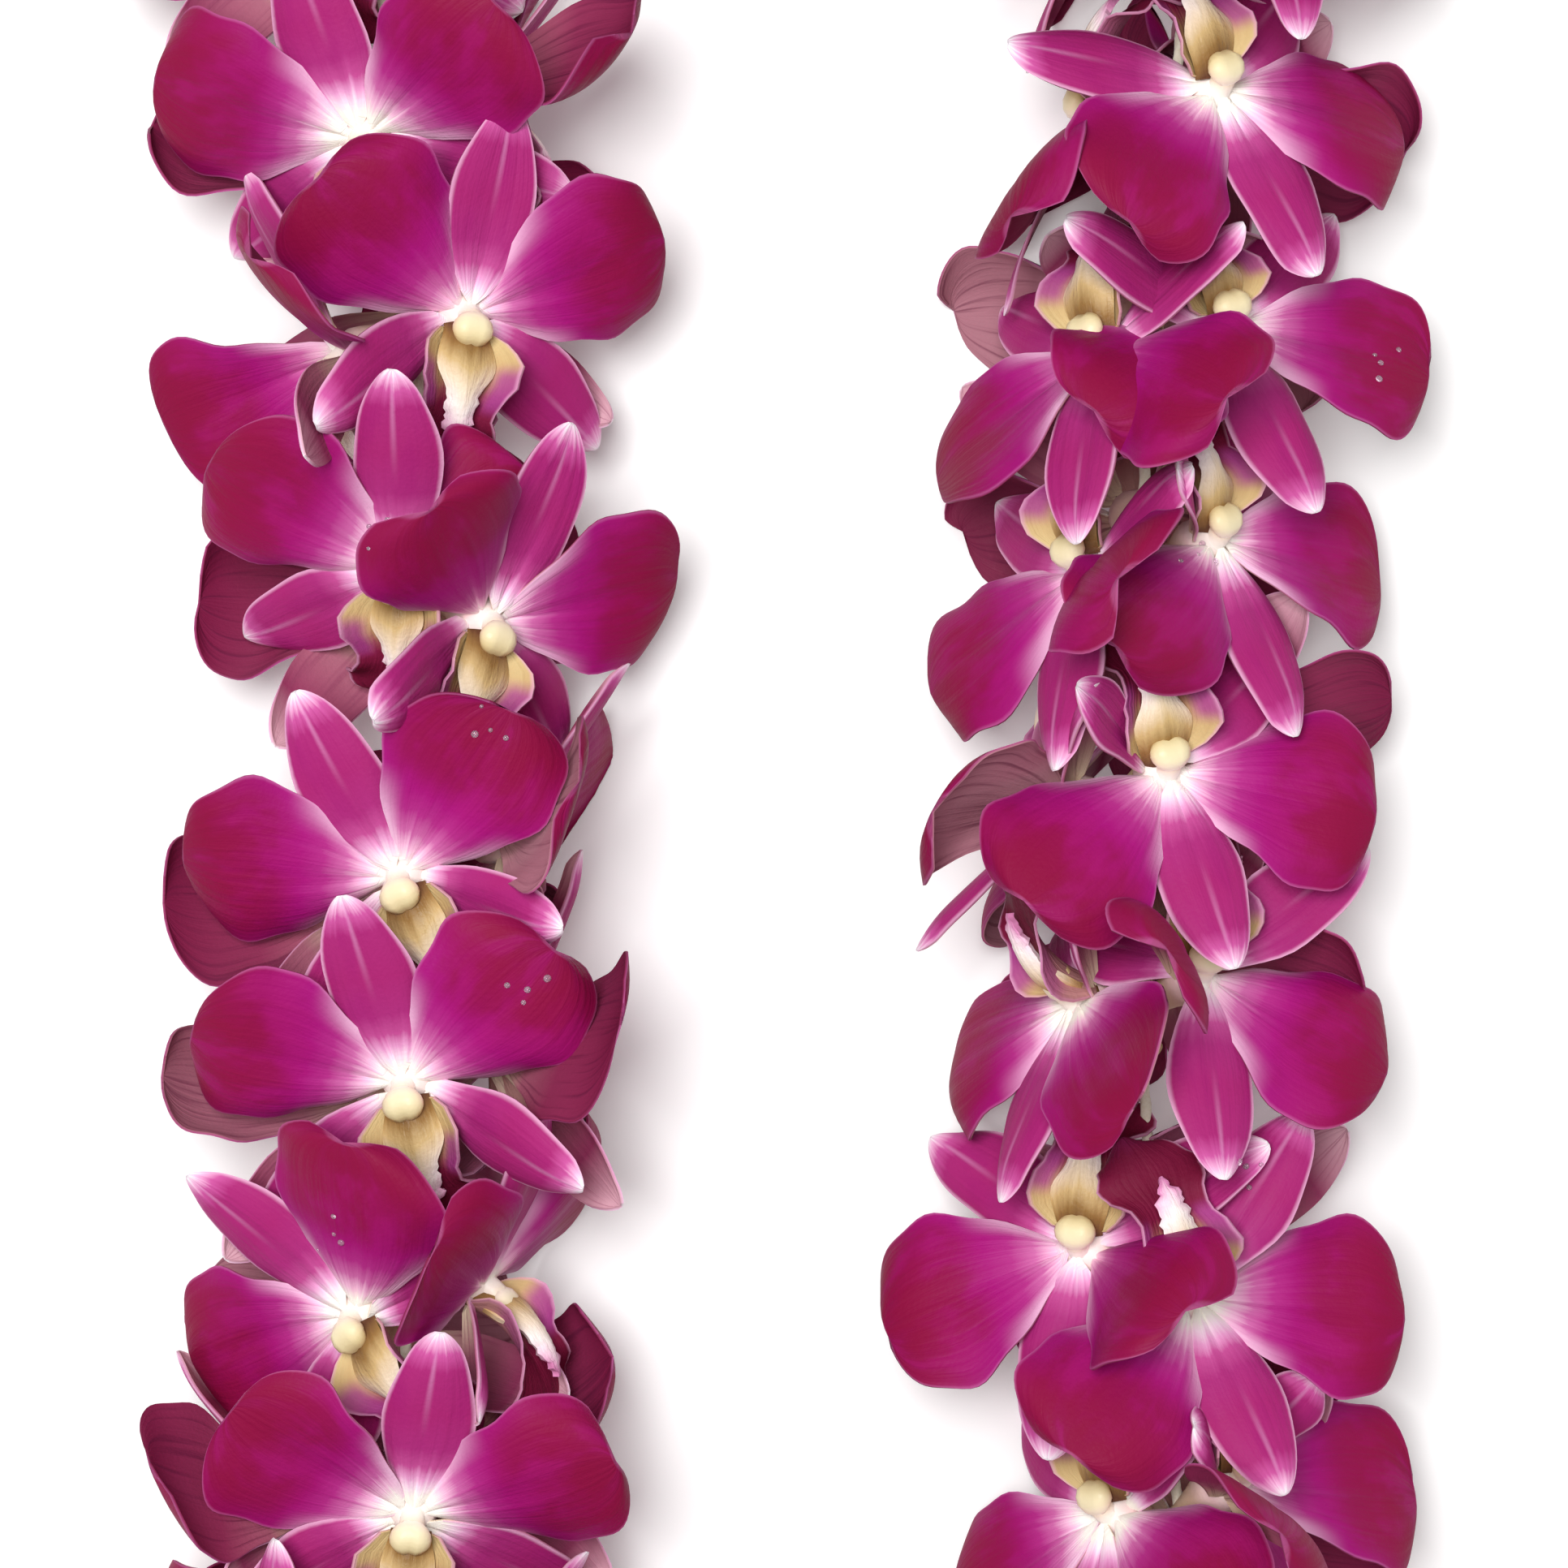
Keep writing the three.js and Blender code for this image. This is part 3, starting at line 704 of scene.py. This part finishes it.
# %% [markdown]
# ## The middle of the bloom
#
# An orchid's stamen and pistil are one short column, with a pale cap that holds the pollen. The lip lies
# below it: its side lobes stand up round the column, its middle lobe spreads, and a cream ridge runs down it
# to a ragged, pale pink tip. Behind the face the bloom narrows into a chin and a neck, which the thread goes
# through. The column and cap are drawn in the bloom's own axes and then moved to its place.

# %% Column, ridge and neck
MATERIALS = ("petal", "sepal", "lip", "ridge", "column", "neck", "cap")
COLUMN_LINE = ((0, 0.4, -0.6), (0, 0.3, 0.8), (0, 0, 2.0), (0, -0.5, 3.2))
COLUMN_RADII = (1.8, 1.7, 1.8, 1.5)
SIDES = {"column": 12, "cap": 18, "neck": 14}
CAP_LINE = (
    (0, 0.8, 1.9),
    (0, 0.6, 2.6),
    (0, 0.2, 3.2),
    (0, -0.5, 3.6),
    (0, -1.2, 3.8),
    (0, -1.9, 3.6),
    (0, -2.4, 3.2),
    (0, -2.7, 2.8),
)
CAP_RADII = (1.4, 2.2, 2.75, 2.95, 2.85, 2.4, 1.7, 0.8)
CAP_FLAT = 0.62
GROOVE_FROM = 4.2  # the groove between the cap's two halves lies above this
GROOVE_DEPTH = 0.45
GROOVE_HALF = 0.6
NECK_RADII = (1.2, 2.9, 3.6, 3.9, 3.6, 3.0, 2.5, 2.1, 1.8, 1.6, 1.5, 1.35)
NECK_START = Vector((0, 0, 0.9))
NECK_BEND = Vector((0, -1.2, -6))  # it heads for this point first, which makes the chin
RIDGE_WIDTH = ((0, 0.7), (0.34, 1), (0.58, 0.5), (0.8, 0.42), (1, 0.07))
RIDGE_HALF = 4.1
RIDGE_SPAN = (0.03, 0.68)  # the stretch of the lip that it lies on
RIDGE_SHEET = 1.0
RIDGE_GRID = (30, 8)
RIDGE_RISE = (1.4, 1.5, 1.2)  # mm off the lip: all over, along its middle, and half way along it
RIDGE_ARCH = 1.8
RIDGE_LEAN = 0.9
FRINGE = 0.3  # how far the ridge's margin runs in and out, as a share of its width
FRINGE_RATE = 45
FRINGE_SHIFT = 2.2  # between its two margins
FRINGE_DETAIL = 1.7


def ridge_place(pose, key, axes):
    """Gives place(s, v) for the fleshy cream ridge, which lies on the lip."""
    lip = BLADES[LIP_BLADE]
    lean = RIDGE_LEAN * uneven(key, 12)
    whole, back, hump = RIDGE_RISE

    def place(s, v):
        on_lip = RIDGE_SPAN[0] + (RIDGE_SPAN[1] - RIDGE_SPAN[0]) * s
        out, forward, slope = midline(lip, *pose, on_lip * (1 + ROOT) - ROOT)
        run = FRINGE_RATE * s + key + FRINGE_SHIFT * (v > 0)
        ragged = 1 + FRINGE * (math.sin(run) + math.sin(FRINGE_DETAIL * run)) * max(0, 2 * s - 1)
        half = RIDGE_HALF * stepped(s, RIDGE_WIDTH) * ragged * pose[1]
        arch = math.cos(RIDGE_ARCH * v * min(1, 4 - 4 * s))
        lift = whole + back * arch * (1 - 0.5 * s) + hump * math.sin(math.pi * s)
        middle = Vector((lean * s * s, -out, forward))
        return axes @ (middle + Vector((v * half, 0, 0)) + blade_axes(lip, slope)[2] * lift)

    return place


def add_middle(shape, neck, axes, poses, key, tone):
    """The ridge, column, cap and neck of one bloom."""
    place = ridge_place(poses[LIP_BLADE], key, axes)
    add_sheet(shape, place, *RIDGE_GRID, RIDGE_SHEET, tone, MATERIALS.index("ridge"))
    first = len(shape.verts)
    for kind, points, radii, flat in (
        ("column", COLUMN_LINE, COLUMN_RADII, 1.0),
        ("cap", CAP_LINE, CAP_RADII, CAP_FLAT),
    ):
        line = [Vector(point) for point in points]
        add_tube(shape, line, radii, SIDES[kind], tone, MATERIALS.index(kind), flat=flat)
    shape.verts.ensure_lookup_table()
    middle = shape.verts[first:]
    for vert in middle:
        if vert.co.z > GROOVE_FROM:
            vert.co.z -= GROOVE_DEPTH * math.exp(-((vert.co.x / GROOVE_HALF) ** 2))
    bmesh.ops.transform(shape, matrix=axes, verts=middle)
    start, bend = axes @ NECK_START, axes @ NECK_BEND
    tail = neck @ Vector((0, 0, -NECK_LENGTH - NECK_TAIL))
    line = []
    for i in range(len(NECK_RADII)):
        x = i / (len(NECK_RADII) - 1)
        line.append(start * (1 - x) ** 2 + bend * 2 * x * (1 - x) + tail * x * x)
    add_tube(shape, line, NECK_RADII, SIDES["neck"], tone, MATERIALS.index("neck"))


# %% [markdown]
# ## Putting the whorls together
#
# One object holds the three blooms of a whorl, as one node of the solid model does. Each blade gets its own
# key, so that no two are waved alike. Edges that turn sharply are marked, so that the thin rim of a petal
# stays crisp while its face is shaded smooth.

# %% All the whorls
SHARP = math.radians(50)


def whorl_shape(w):
    """The fine blades and middles of one whorl, in millimetres."""
    shape = new_shape()
    for m, (neck, axes) in enumerate(WHORLS[w]):
        bloom = 3 * w + m
        tone = uneven(bloom, 13) + 0.5
        for i, blade in enumerate(BLADES):
            form, pose, key = FORMS[blade["kind"]], POSES[w][m][i], 6 * bloom + i
            place = blade_place(blade, pose, key, axes, BENT_ASIDE.get((w, m, i), 0.0))
            kind = MATERIALS.index(blade["kind"])
            layer = LAYERS * (uneven(key, 17) + 0.5)
            add_sheet(shape, place, form["rows"], form["columns"], form["sheet"], tone, kind, layer)
        add_middle(shape, neck, axes, POSES[w][m], bloom, tone)
    return shape


whorl_pieces = []
for w in range(len(WHORLS)):
    piece = add_object(f"orchids_{w + 1:02d}", whorl_shape(w), MM)
    piece.data.set_sharp_from_angle(angle=SHARP)
    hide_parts(f"blooms_{w + 1:02d}")
    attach(piece, "root")
    whorl_pieces.append(piece)
counts = [sum(len(p.vertices) - 2 for p in piece.data.polygons) for piece in whorl_pieces]
print("triangles in the whorls:", sum(counts), "most in one:", max(counts))

# %% [markdown]
# ## The thread
#
# The thread is white cotton, twisted from three plies. A ring with three lobes, turned a little at each step,
# draws it as one piece. It starts and ends in the knot that closes the lei, and two short tails are left.

# %% Twisted cotton thread with its knot
THREAD_RADIUS = 0.72
PLY = 0.22  # how far a ply stands out, as a share of the radius
THREAD_STEP = 1.0
THREAD_SIDES = 9
PLY_TURN = math.radians(26)
KNOT_STATION = 0.543 * HALF_LOOP
KNOT_RADIUS = 1.15
KNOT_WAVE = 0.42  # how far the knot's loops run in and out, as a share of its radius
KNOT_DEPTH = 0.75
KNOT_STEPS = 60
TAIL_LENGTH = 9
TAIL_STEPS = 9
TAIL_LIE = (0.5, -0.75, -0.6)  # the way that a tail points: along the thread, inwards and up
DRAWN_IN = 0.6  # how thin a stretch is at its ends, as a share of its radius
KNOT_THINNER = 0.8  # pulled tight, the thread is thinner in its knot
TAIL_THINNER = 0.9


def twisted(shape, line, radius):
    """A stretch of three-ply thread, drawn in to a point at both ends."""
    radii = [radius * DRAWN_IN] + [radius] * (len(line) - 2) + [radius * DRAWN_IN]
    add_tube(shape, line, radii, THREAD_SIDES, tone=0.5, material=0, twist=PLY_TURN, lobes=PLY)


shape = new_shape()
steps = round(2 * HALF_LOOP / THREAD_STEP)
route = [on_loop(KNOT_STATION + 2 * HALF_LOOP * i / steps)[0] for i in range(steps + 1)]
twisted(shape, route, THREAD_RADIUS)
knot_point, knot_way, knot_inward = on_loop(KNOT_STATION)
knot_line = []
for i in range(KNOT_STEPS + 1):
    a = 2 * math.pi * i / KNOT_STEPS
    ring = KNOT_RADIUS * (1 + KNOT_WAVE * math.cos(3 * a))
    knot_line.append(
        knot_point
        + knot_inward * (ring * math.cos(2 * a))
        + UP * (ring * math.sin(2 * a))
        + knot_way * (KNOT_DEPTH * math.sin(3 * a))
    )
twisted(shape, knot_line, THREAD_RADIUS * KNOT_THINNER)
for side in (-1, 1):
    lie = knot_way * (TAIL_LIE[0] * side) + knot_inward * TAIL_LIE[1] + UP * TAIL_LIE[2]
    lie.normalize()
    tail = [knot_point + lie * (TAIL_LENGTH * i / TAIL_STEPS) for i in range(TAIL_STEPS + 1)]
    twisted(shape, tail, THREAD_RADIUS * TAIL_THINNER)
thread_piece = add_object("cotton_thread", shape, MM)
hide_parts("thread")
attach(thread_piece, "root")
print("thread faces:", len(thread_piece.data.polygons))

# %% [markdown]
# ## Drops of water
#
# The lei has been sprayed to keep it fresh, and a few small drops stand on its petals. Each is half of a
# flattened ball. A ray straight down finds the petal that it lies on, and which way that petal faces.

# %% Drops on the petals
DROP_PLACES = (
    (-54.9, 33.5),
    (-38.9, 6.6),
    (-34.0, -28.6),
    (-60.5, -62.0),
    (64.5, -53.4),
    (58.0, 31.0),
    (84.0, 58.0),
)
DROPS_TOGETHER = 4
DROP_SPREAD = 1.76
DROP_CROOKED = 0.5  # how uneven their distances are
DROP_FROM = 100  # mm, above every petal
DROP_RADIUS = 0.42
DROP_RANGE = 0.3
DROP_FLAT = 0.75  # its height as a share of its radius
DROP_MERGE = 0.01
GOLDEN_ANGLE = math.radians(137.5)

bpy.context.view_layer.update()
shape = new_shape()
drop_count = 0
for n, (x, y) in enumerate(DROP_PLACES):
    for k in range(DROPS_TOGETHER):
        away = DROP_SPREAD * math.sqrt(k) * (1 + DROP_CROOKED * uneven(n, k))
        a = n + k * GOLDEN_ANGLE
        start = Vector((x + away * math.cos(a), y + away * math.sin(a), DROP_FROM))
        hits = [piece.ray_cast(start * MM, -UP) for piece in whorl_pieces]
        hits = [(place.z, place, normal) for hit, place, normal, _ in hits if hit]
        if not hits:
            continue
        place, normal = max(hits, key=lambda hit: hit[0])[1:]
        radius = DROP_RADIUS + DROP_RANGE * uneven(n * DROPS_TOGETHER + k, 21)
        turn = UP.rotation_difference(normal).to_matrix().to_4x4()
        ball = bmesh.ops.create_icosphere(shape, subdivisions=3, radius=radius)["verts"]
        for vert in ball:
            vert.co.z = DROP_FLAT * max(vert.co.z, 0)
        bmesh.ops.remove_doubles(shape, verts=ball, dist=DROP_MERGE)
        ball = [vert for vert in ball if vert.is_valid]
        bmesh.ops.transform(shape, matrix=Matrix.Translation(place / MM) @ turn, verts=ball)
        drop_count += 1
for face in shape.faces:
    face.smooth = True
drops = add_object("water_drops", shape, MM)
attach(drops, "root")
print("drops:", drop_count)

# %% [markdown]
# ## Finishes
#
# A fresh orchid petal is a soft wax-coated skin over juicy tissue. Its surface is satin, never glossy. The
# colour is painted by where a point is on its own blade, which the numbers on the vertices say, so that it
# stays with the blade however that is bent. One small function adds any node, with its settings and what
# feeds it.

# %% Adding a node
def add_node(material, kind, inputs=None, output=0, stops=(), **settings):
    """Adds a node and gives its output. inputs maps a socket to a number, a hex colour or what feeds it."""
    node = material.node_tree.nodes.new("ShaderNode" + kind)
    for name, value in settings.items():
        setattr(node, name, value)
    for socket, value in (inputs or {}).items():
        if isinstance(value, bpy.types.NodeSocket):
            material.node_tree.links.new(value, node.inputs[socket])
        else:
            node.inputs[socket].default_value = linear(value) if isinstance(value, str) else value
    for i, (place, code) in enumerate(stops):
        mark = node.color_ramp.elements[i] if i < 2 else node.color_ramp.elements.new(place)
        mark.position = place
        mark.color = linear(code)
    return node.outputs[output]


# %% [markdown]
# A finish is laid on in coats, as a painter of silk flowers would do it. Each coat covers the last one where
# the values that it names rise, or fall, between two numbers. Veins are noise that is stretched along the
# blade. They push the colours to and fro, so that the white star at the root runs out in streaks, and they
# give the surface its relief and its changes of gloss.

# %% Coats, veins and relief
TONE_STEP = 37.0  # how far apart in the noise the blooms are, so that no two share their veins
PLAIN_TONE = 0.3  # the tone of a bloom whose star is neither larger nor smaller
GLOSS_CHANGE = 0.08
CELL = 0.6  # mm: the bead-like cells of a petal are far finer, and are drawn coarse enough to show


def read_numbers(material):
    """The outputs of the four numbers, and how far from the midline a point is, to either side."""
    numbers = [add_node(material, "Attribute", output="Fac", attribute_name=name) for name in NUMBERS]
    return numbers, add_node(material, "Math", {0: numbers[1]}, operation="ABSOLUTE")


def add_coats(material, colour, coats):
    """Lays coats over a colour. A coat is a colour, a strength, and fades: a value, where it is 0 and 1."""
    for coat, strength, *fades in coats:
        share = strength
        for value, bare, full in fades:
            limits = {"Value": value, "From Min": bare, "From Max": full}
            fade = add_node(material, "MapRange", limits, interpolation_type="SMOOTHSTEP")
            share = add_node(material, "Math", {0: fade, 1: share}, operation="MULTIPLY")
        colour = add_node(material, "Mix", {0: share, 6: colour, 7: coat}, 2, data_type="RGBA")
    return colour


def veins(material, numbers, count, stretch):
    """Streaks that run along a blade: count of them across it, each a good part of its length."""
    along, across, _, tone = numbers
    place = add_node(material, "CombineXYZ", {"X": across, "Y": along, "Z": tone})
    sizes = {0: place, 1: (count / 2, stretch, TONE_STEP)}
    place = add_node(material, "VectorMath", sizes, operation="MULTIPLY")
    return add_node(material, "TexNoise", {"Vector": place, "Scale": 1.0, "Detail": 3.0, "Roughness": 0.55})


def streaked(material, along, streak, amount):
    """The place along a blade, pushed to and fro by its veins."""
    pushed = add_node(material, "Math", {0: streak, 1: amount, 2: along}, operation="MULTIPLY_ADD")
    return add_node(material, "Math", {0: pushed, 1: amount / 2}, operation="SUBTRACT")


def star_place(material, along, tone, growth):
    """The place along a blade, drawn back near its root, so that some blooms have a larger white star."""
    more = add_node(material, "Math", {0: tone, 1: growth, 2: -PLAIN_TONE * growth}, operation="MULTIPLY_ADD")
    rest = add_node(material, "Math", {0: 1.0, 1: along}, operation="SUBTRACT")
    back = add_node(material, "Math", {0: more, 1: rest}, operation="MULTIPLY")
    return add_node(material, "Math", {0: along, 1: back}, operation="SUBTRACT")


def end_finish(material, colour, streak, height):
    """Gives the surface its colour, a gloss that changes with the veins, and relief of veins and cells."""
    links, surface = material.node_tree.links, material.node_tree.nodes["Principled BSDF"]
    links.new(colour, surface.inputs["Base Color"])
    middle = surface.inputs["Roughness"].default_value
    limits = {"From Min": 0.3, "From Max": 0.7}
    limits.update({"To Min": middle - GLOSS_CHANGE, "To Max": middle + GLOSS_CHANGE})
    gloss = add_node(material, "MapRange", {"Value": streak, **limits})
    links.new(gloss, surface.inputs["Roughness"])
    place = add_node(material, "TexCoord", output="Object")
    cells = add_node(material, "TexNoise", {"Vector": place, "Scale": 1 / (CELL * MM), "Detail": 2.0})
    relief = add_node(material, "Math", {0: cells, 1: 0.35, 2: streak}, operation="MULTIPLY_ADD")
    bump = add_node(material, "Bump", {"Height": relief, "Distance": height * MM, "Strength": 1.0})
    links.new(bump, surface.inputs["Normal"])


# %% [markdown]
# The petal meets the eye first. Its root is white with a lilac ring. Crimson fills its middle in soft
# patches, and purple lies along its margins, which end in a fine pale rim. The back is a dusty pink that
# shows the veins.

# %% Orchid petal
PETAL_FACE = (
    (0.03, "#fffaf2"),
    (0.11, "#f6bedd"),
    (0.195, "#ca67a5"),
    (0.305, "#ae2c82"),
    (0.42, "#a31274"),
    (0.54, "#9a0e64"),
    (0.66, "#940d56"),
    (0.77, "#8e0d4a"),
    (0.88, "#880d42"),
    (1.0, "#860f46"),
)
PETAL_BACK = ((0.05, "#dcc0a6"), (0.28, "#a65a70"), (0.55, "#8c3054"), (0.95, "#7c1e44"))

petal = new_finish("orchid_petal_satin", 0.55, 0.1)
numbers, side = read_numbers(petal)
along, _, back, tone = numbers
streak = veins(petal, numbers, 26, 1.4)
patches = veins(petal, numbers, 4, 2.6)
star = star_place(petal, along, tone, 0.13)
face = add_node(petal, "ValToRGB", {0: streaked(petal, star, streak, 0.15)}, stops=PETAL_FACE)
face_coats = (
    ("#a0147a", 0.5, (side, 0.4, 1.0), (along, 0.16, 0.36), (along, 0.95, 0.5)),
    ("#8e1048", 0.3, (tone, 0.4, 1.0), (along, 0.3, 0.5)),
    ("#a3146e", 0.35, (patches, 0.46, 0.34), (along, 0.3, 0.5)),
    ("#860d36", 0.55, (patches, 0.42, 0.58), (along, 0.4, 0.6), (side, 1.0, 0.7)),
    ("#d07ab4", 0.35, (side, 0.96, 1.0)),
    ("#d07ab4", 0.35, (along, 0.99, 1.0)),
    ("#f3c3e0", 0.8, (side, 0.6, 1.0), (along, 0.5, 0.2)),
)
reverse = add_node(petal, "ValToRGB", {0: along}, stops=PETAL_BACK)
reverse_coats = (
    ("#c3909a", 0.6, (tone, 0.7, 0.8)),
    ("#5c1638", 0.6, (streak, 0.5, 0.7)),
)
face = add_coats(petal, face, face_coats)
reverse = add_coats(petal, reverse, reverse_coats)
end_finish(petal, add_coats(petal, face, [(reverse, 1.0, (back, 0.0, 1.0))]), streak, 0.18)
print(petal.name, "nodes:", len(petal.node_tree.nodes))

# %% [markdown]
# The sepals are narrower and paler than the petals: magenta with white-pink margins, a pale midrib and a
# white tip.

# %% Orchid sepal
SEPAL_FACE = (
    (0.04, "#fffaf0"),
    (0.1, "#fbdcee"),
    (0.16, "#e59cca"),
    (0.23, "#be4c90"),
    (0.34, "#a72c76"),
    (0.55, "#a4246c"),
    (0.8, "#a62871"),
    (0.89, "#c6549a"),
    (0.95, "#f0b0d6"),
    (1.0, "#fff8fd"),
)
SEPAL_BACK = ((0.05, "#e6d4b6"), (0.4, "#b06a7e"), (0.7, "#92385e"), (0.95, "#d9a6b4"))

sepal = new_finish("orchid_sepal_satin", 0.55, 0.1)
numbers, side = read_numbers(sepal)
along, _, back, tone = numbers
streak = veins(sepal, numbers, 12, 1.2)
patches = veins(sepal, numbers, 3, 2.2)
star = star_place(sepal, along, tone, 0.1)
face = add_node(sepal, "ValToRGB", {0: streaked(sepal, star, streak, 0.12)}, stops=SEPAL_FACE)
face_coats = (
    ("#9c1a6c", 0.4, (patches, 0.48, 0.66), (along, 0.25, 0.4), (along, 0.9, 0.75)),
    ("#e3a3d0", 0.35, (side, 0.12, 0.0), (along, 0.4, 0.85)),
    ("#ecb4d6", 0.7, (side, 0.88, 0.99)),
)
face = add_coats(sepal, face, face_coats)
reverse = add_node(sepal, "ValToRGB", {0: along}, stops=SEPAL_BACK)
reverse = add_coats(sepal, reverse, [("#8f4261", 0.5, (streak, 0.5, 0.68))])
end_finish(sepal, add_coats(sepal, face, [(reverse, 1.0, (back, 0.0, 1.0))]), streak, 0.2)
print(sepal.name, "nodes:", len(sepal.node_tree.nodes))

# %% [markdown]
# The lip is the darkest blade. Its throat is olive cream, its side lobes are purple with pale edges, and its
# middle lobe is a deep crimson like velvet.

# %% Orchid lip
LIP_FACE = (
    (0.08, "#dcc48e"),
    (0.3, "#c4a170"),
    (0.4, "#9c4f58"),
    (0.47, "#7f1b40"),
    (0.62, "#701434"),
    (0.88, "#76173a"),
    (1.0, "#852052"),
)

lip = new_finish("orchid_lip_velvet", 0.6, 0.1)
numbers, side = read_numbers(lip)
along, _, back, _ = numbers
streak = veins(lip, numbers, 22, 1.6)
face = add_node(lip, "ValToRGB", {0: streaked(lip, along, streak, 0.14)}, stops=LIP_FACE)
face_coats = (
    ("#a8408c", 0.85, (side, 0.5, 0.8), (along, 0.2, 0.3), (along, 0.52, 0.42)),
    ("#e6a8cc", 0.6, (side, 0.93, 1.0)),
    ("#a4607c", 0.7, (back, 0.0, 1.0)),
)
end_finish(lip, add_coats(lip, face, face_coats), streak, 0.25)
print(lip.name, "nodes:", len(lip.node_tree.nodes))

# %% [markdown]
# The fleshy pieces in the middle have colours that run along them. The ridge is dark brown under the cap, a
# painted shade over its olive base, then olive and cream, and nearly white towards its pink tip, with paler
# margins. The column is waxy and white at its root. The pollen cap is a smooth cream yellow, with painted
# shade where it turns under, and the neck is cream and pink.

# %% Ridge, column, cap and neck
PALE_RIM = 0.14  # how far ahead along its colours the ridge is at its margins
# the brown and dark olive stops near the root are painted shade under the cap, over the ridge's own olive
# cream
RIDGE_COLOURS_AND_SHADE = (
    (0.12, "#5e3a24"),
    (0.26, "#94703f"),
    (0.4, "#cdae78"),
    (0.56, "#f0dcc0"),
    (0.74, "#fff3ee"),
    (0.88, "#fbd3e6"),
    (1.0, "#e58fc0"),
)
COLUMN_STOPS = ((0.0, "#fffaf4"), (0.35, "#fdf3e6"), (0.75, "#efdcbc"), (1.0, "#d8bd92"))
# the last two stops darken the cap where it turns under: painted shade
CAP_COLOURS_AND_SHADE = ((0.0, "#fff6e6"), (0.3, "#f4e7c0"), (0.62, "#ead8a4"), (0.84, "#cfb078"), (1.0, "#96703c"))
NECK_STOPS = ((0.0, "#fff6ee"), (0.2, "#e9c4c4"), (0.5, "#e3bfa6"), (1.0, "#d8bd92"))
FLESHY = (
    ("ridge", "orchid_lip_ridge_wax", 0.45, RIDGE_COLOURS_AND_SHADE, 0.3),
    ("column", "orchid_column_wax", 0.4, COLUMN_STOPS, 0.15),
    ("cap", "orchid_pollen_cap_wax", 0.38, CAP_COLOURS_AND_SHADE, 0.12),
    ("neck", "orchid_neck_wax", 0.5, NECK_STOPS, 0.2),
)

FINISHES = {"petal": petal, "sepal": sepal, "lip": lip}
for kind, name, roughness, stops, height in FLESHY:
    material = new_finish(name, roughness, 0.25)
    numbers, side = read_numbers(material)
    streak = veins(material, numbers, 8, 3.0)
    place = add_node(material, "Math", {0: side, 1: PALE_RIM, 2: numbers[0]}, operation="MULTIPLY_ADD")
    colour = add_node(material, "ValToRGB", {0: streaked(material, place, streak, 0.12)}, stops=stops)
    end_finish(material, colour, streak, height)
    FINISHES[kind] = material
for piece in whorl_pieces:
    for kind in MATERIALS:
        piece.data.materials.append(FINISHES[kind])
print("finishes on a whorl:", len(FINISHES))

# %% [markdown]
# The cotton is matt and slightly fuzzy, an off-white that has picked up a little sap.

# %% Cotton thread
FIBRE = 0.5  # mm, the length of the pale and dark flecks

cotton = new_finish("twisted_cotton", 0.9, 0.2, {"Sheen Weight": 0.3, "Sheen Roughness": 0.4})
place = add_node(cotton, "TexCoord", output="Object")
fibre = add_node(cotton, "TexNoise", {"Vector": place, "Scale": 1 / (FIBRE * MM), "Detail": 2.0})
colour = add_node(cotton, "Mix", {0: fibre, 6: "#d8ccae", 7: "#f6f1e4"}, 2, data_type="RGBA")
end_finish(cotton, colour, fibre, 0.1)
thread_piece.data.materials.append(cotton)
print(cotton.name, "nodes:", len(cotton.node_tree.nodes))

# %% [markdown]
# Water is clear, and bends light at 1.33. Each drop shows as a tiny bright spot.

# %% Water
clear = {"Base Color": "#f6dcee", "Transmission Weight": 0.8, "IOR": 1.33}
water = new_finish("clear_water", 0.03, 1.0, clear)
drops.data.materials.append(water)
print(water.name, "on", drop_count, "drops")
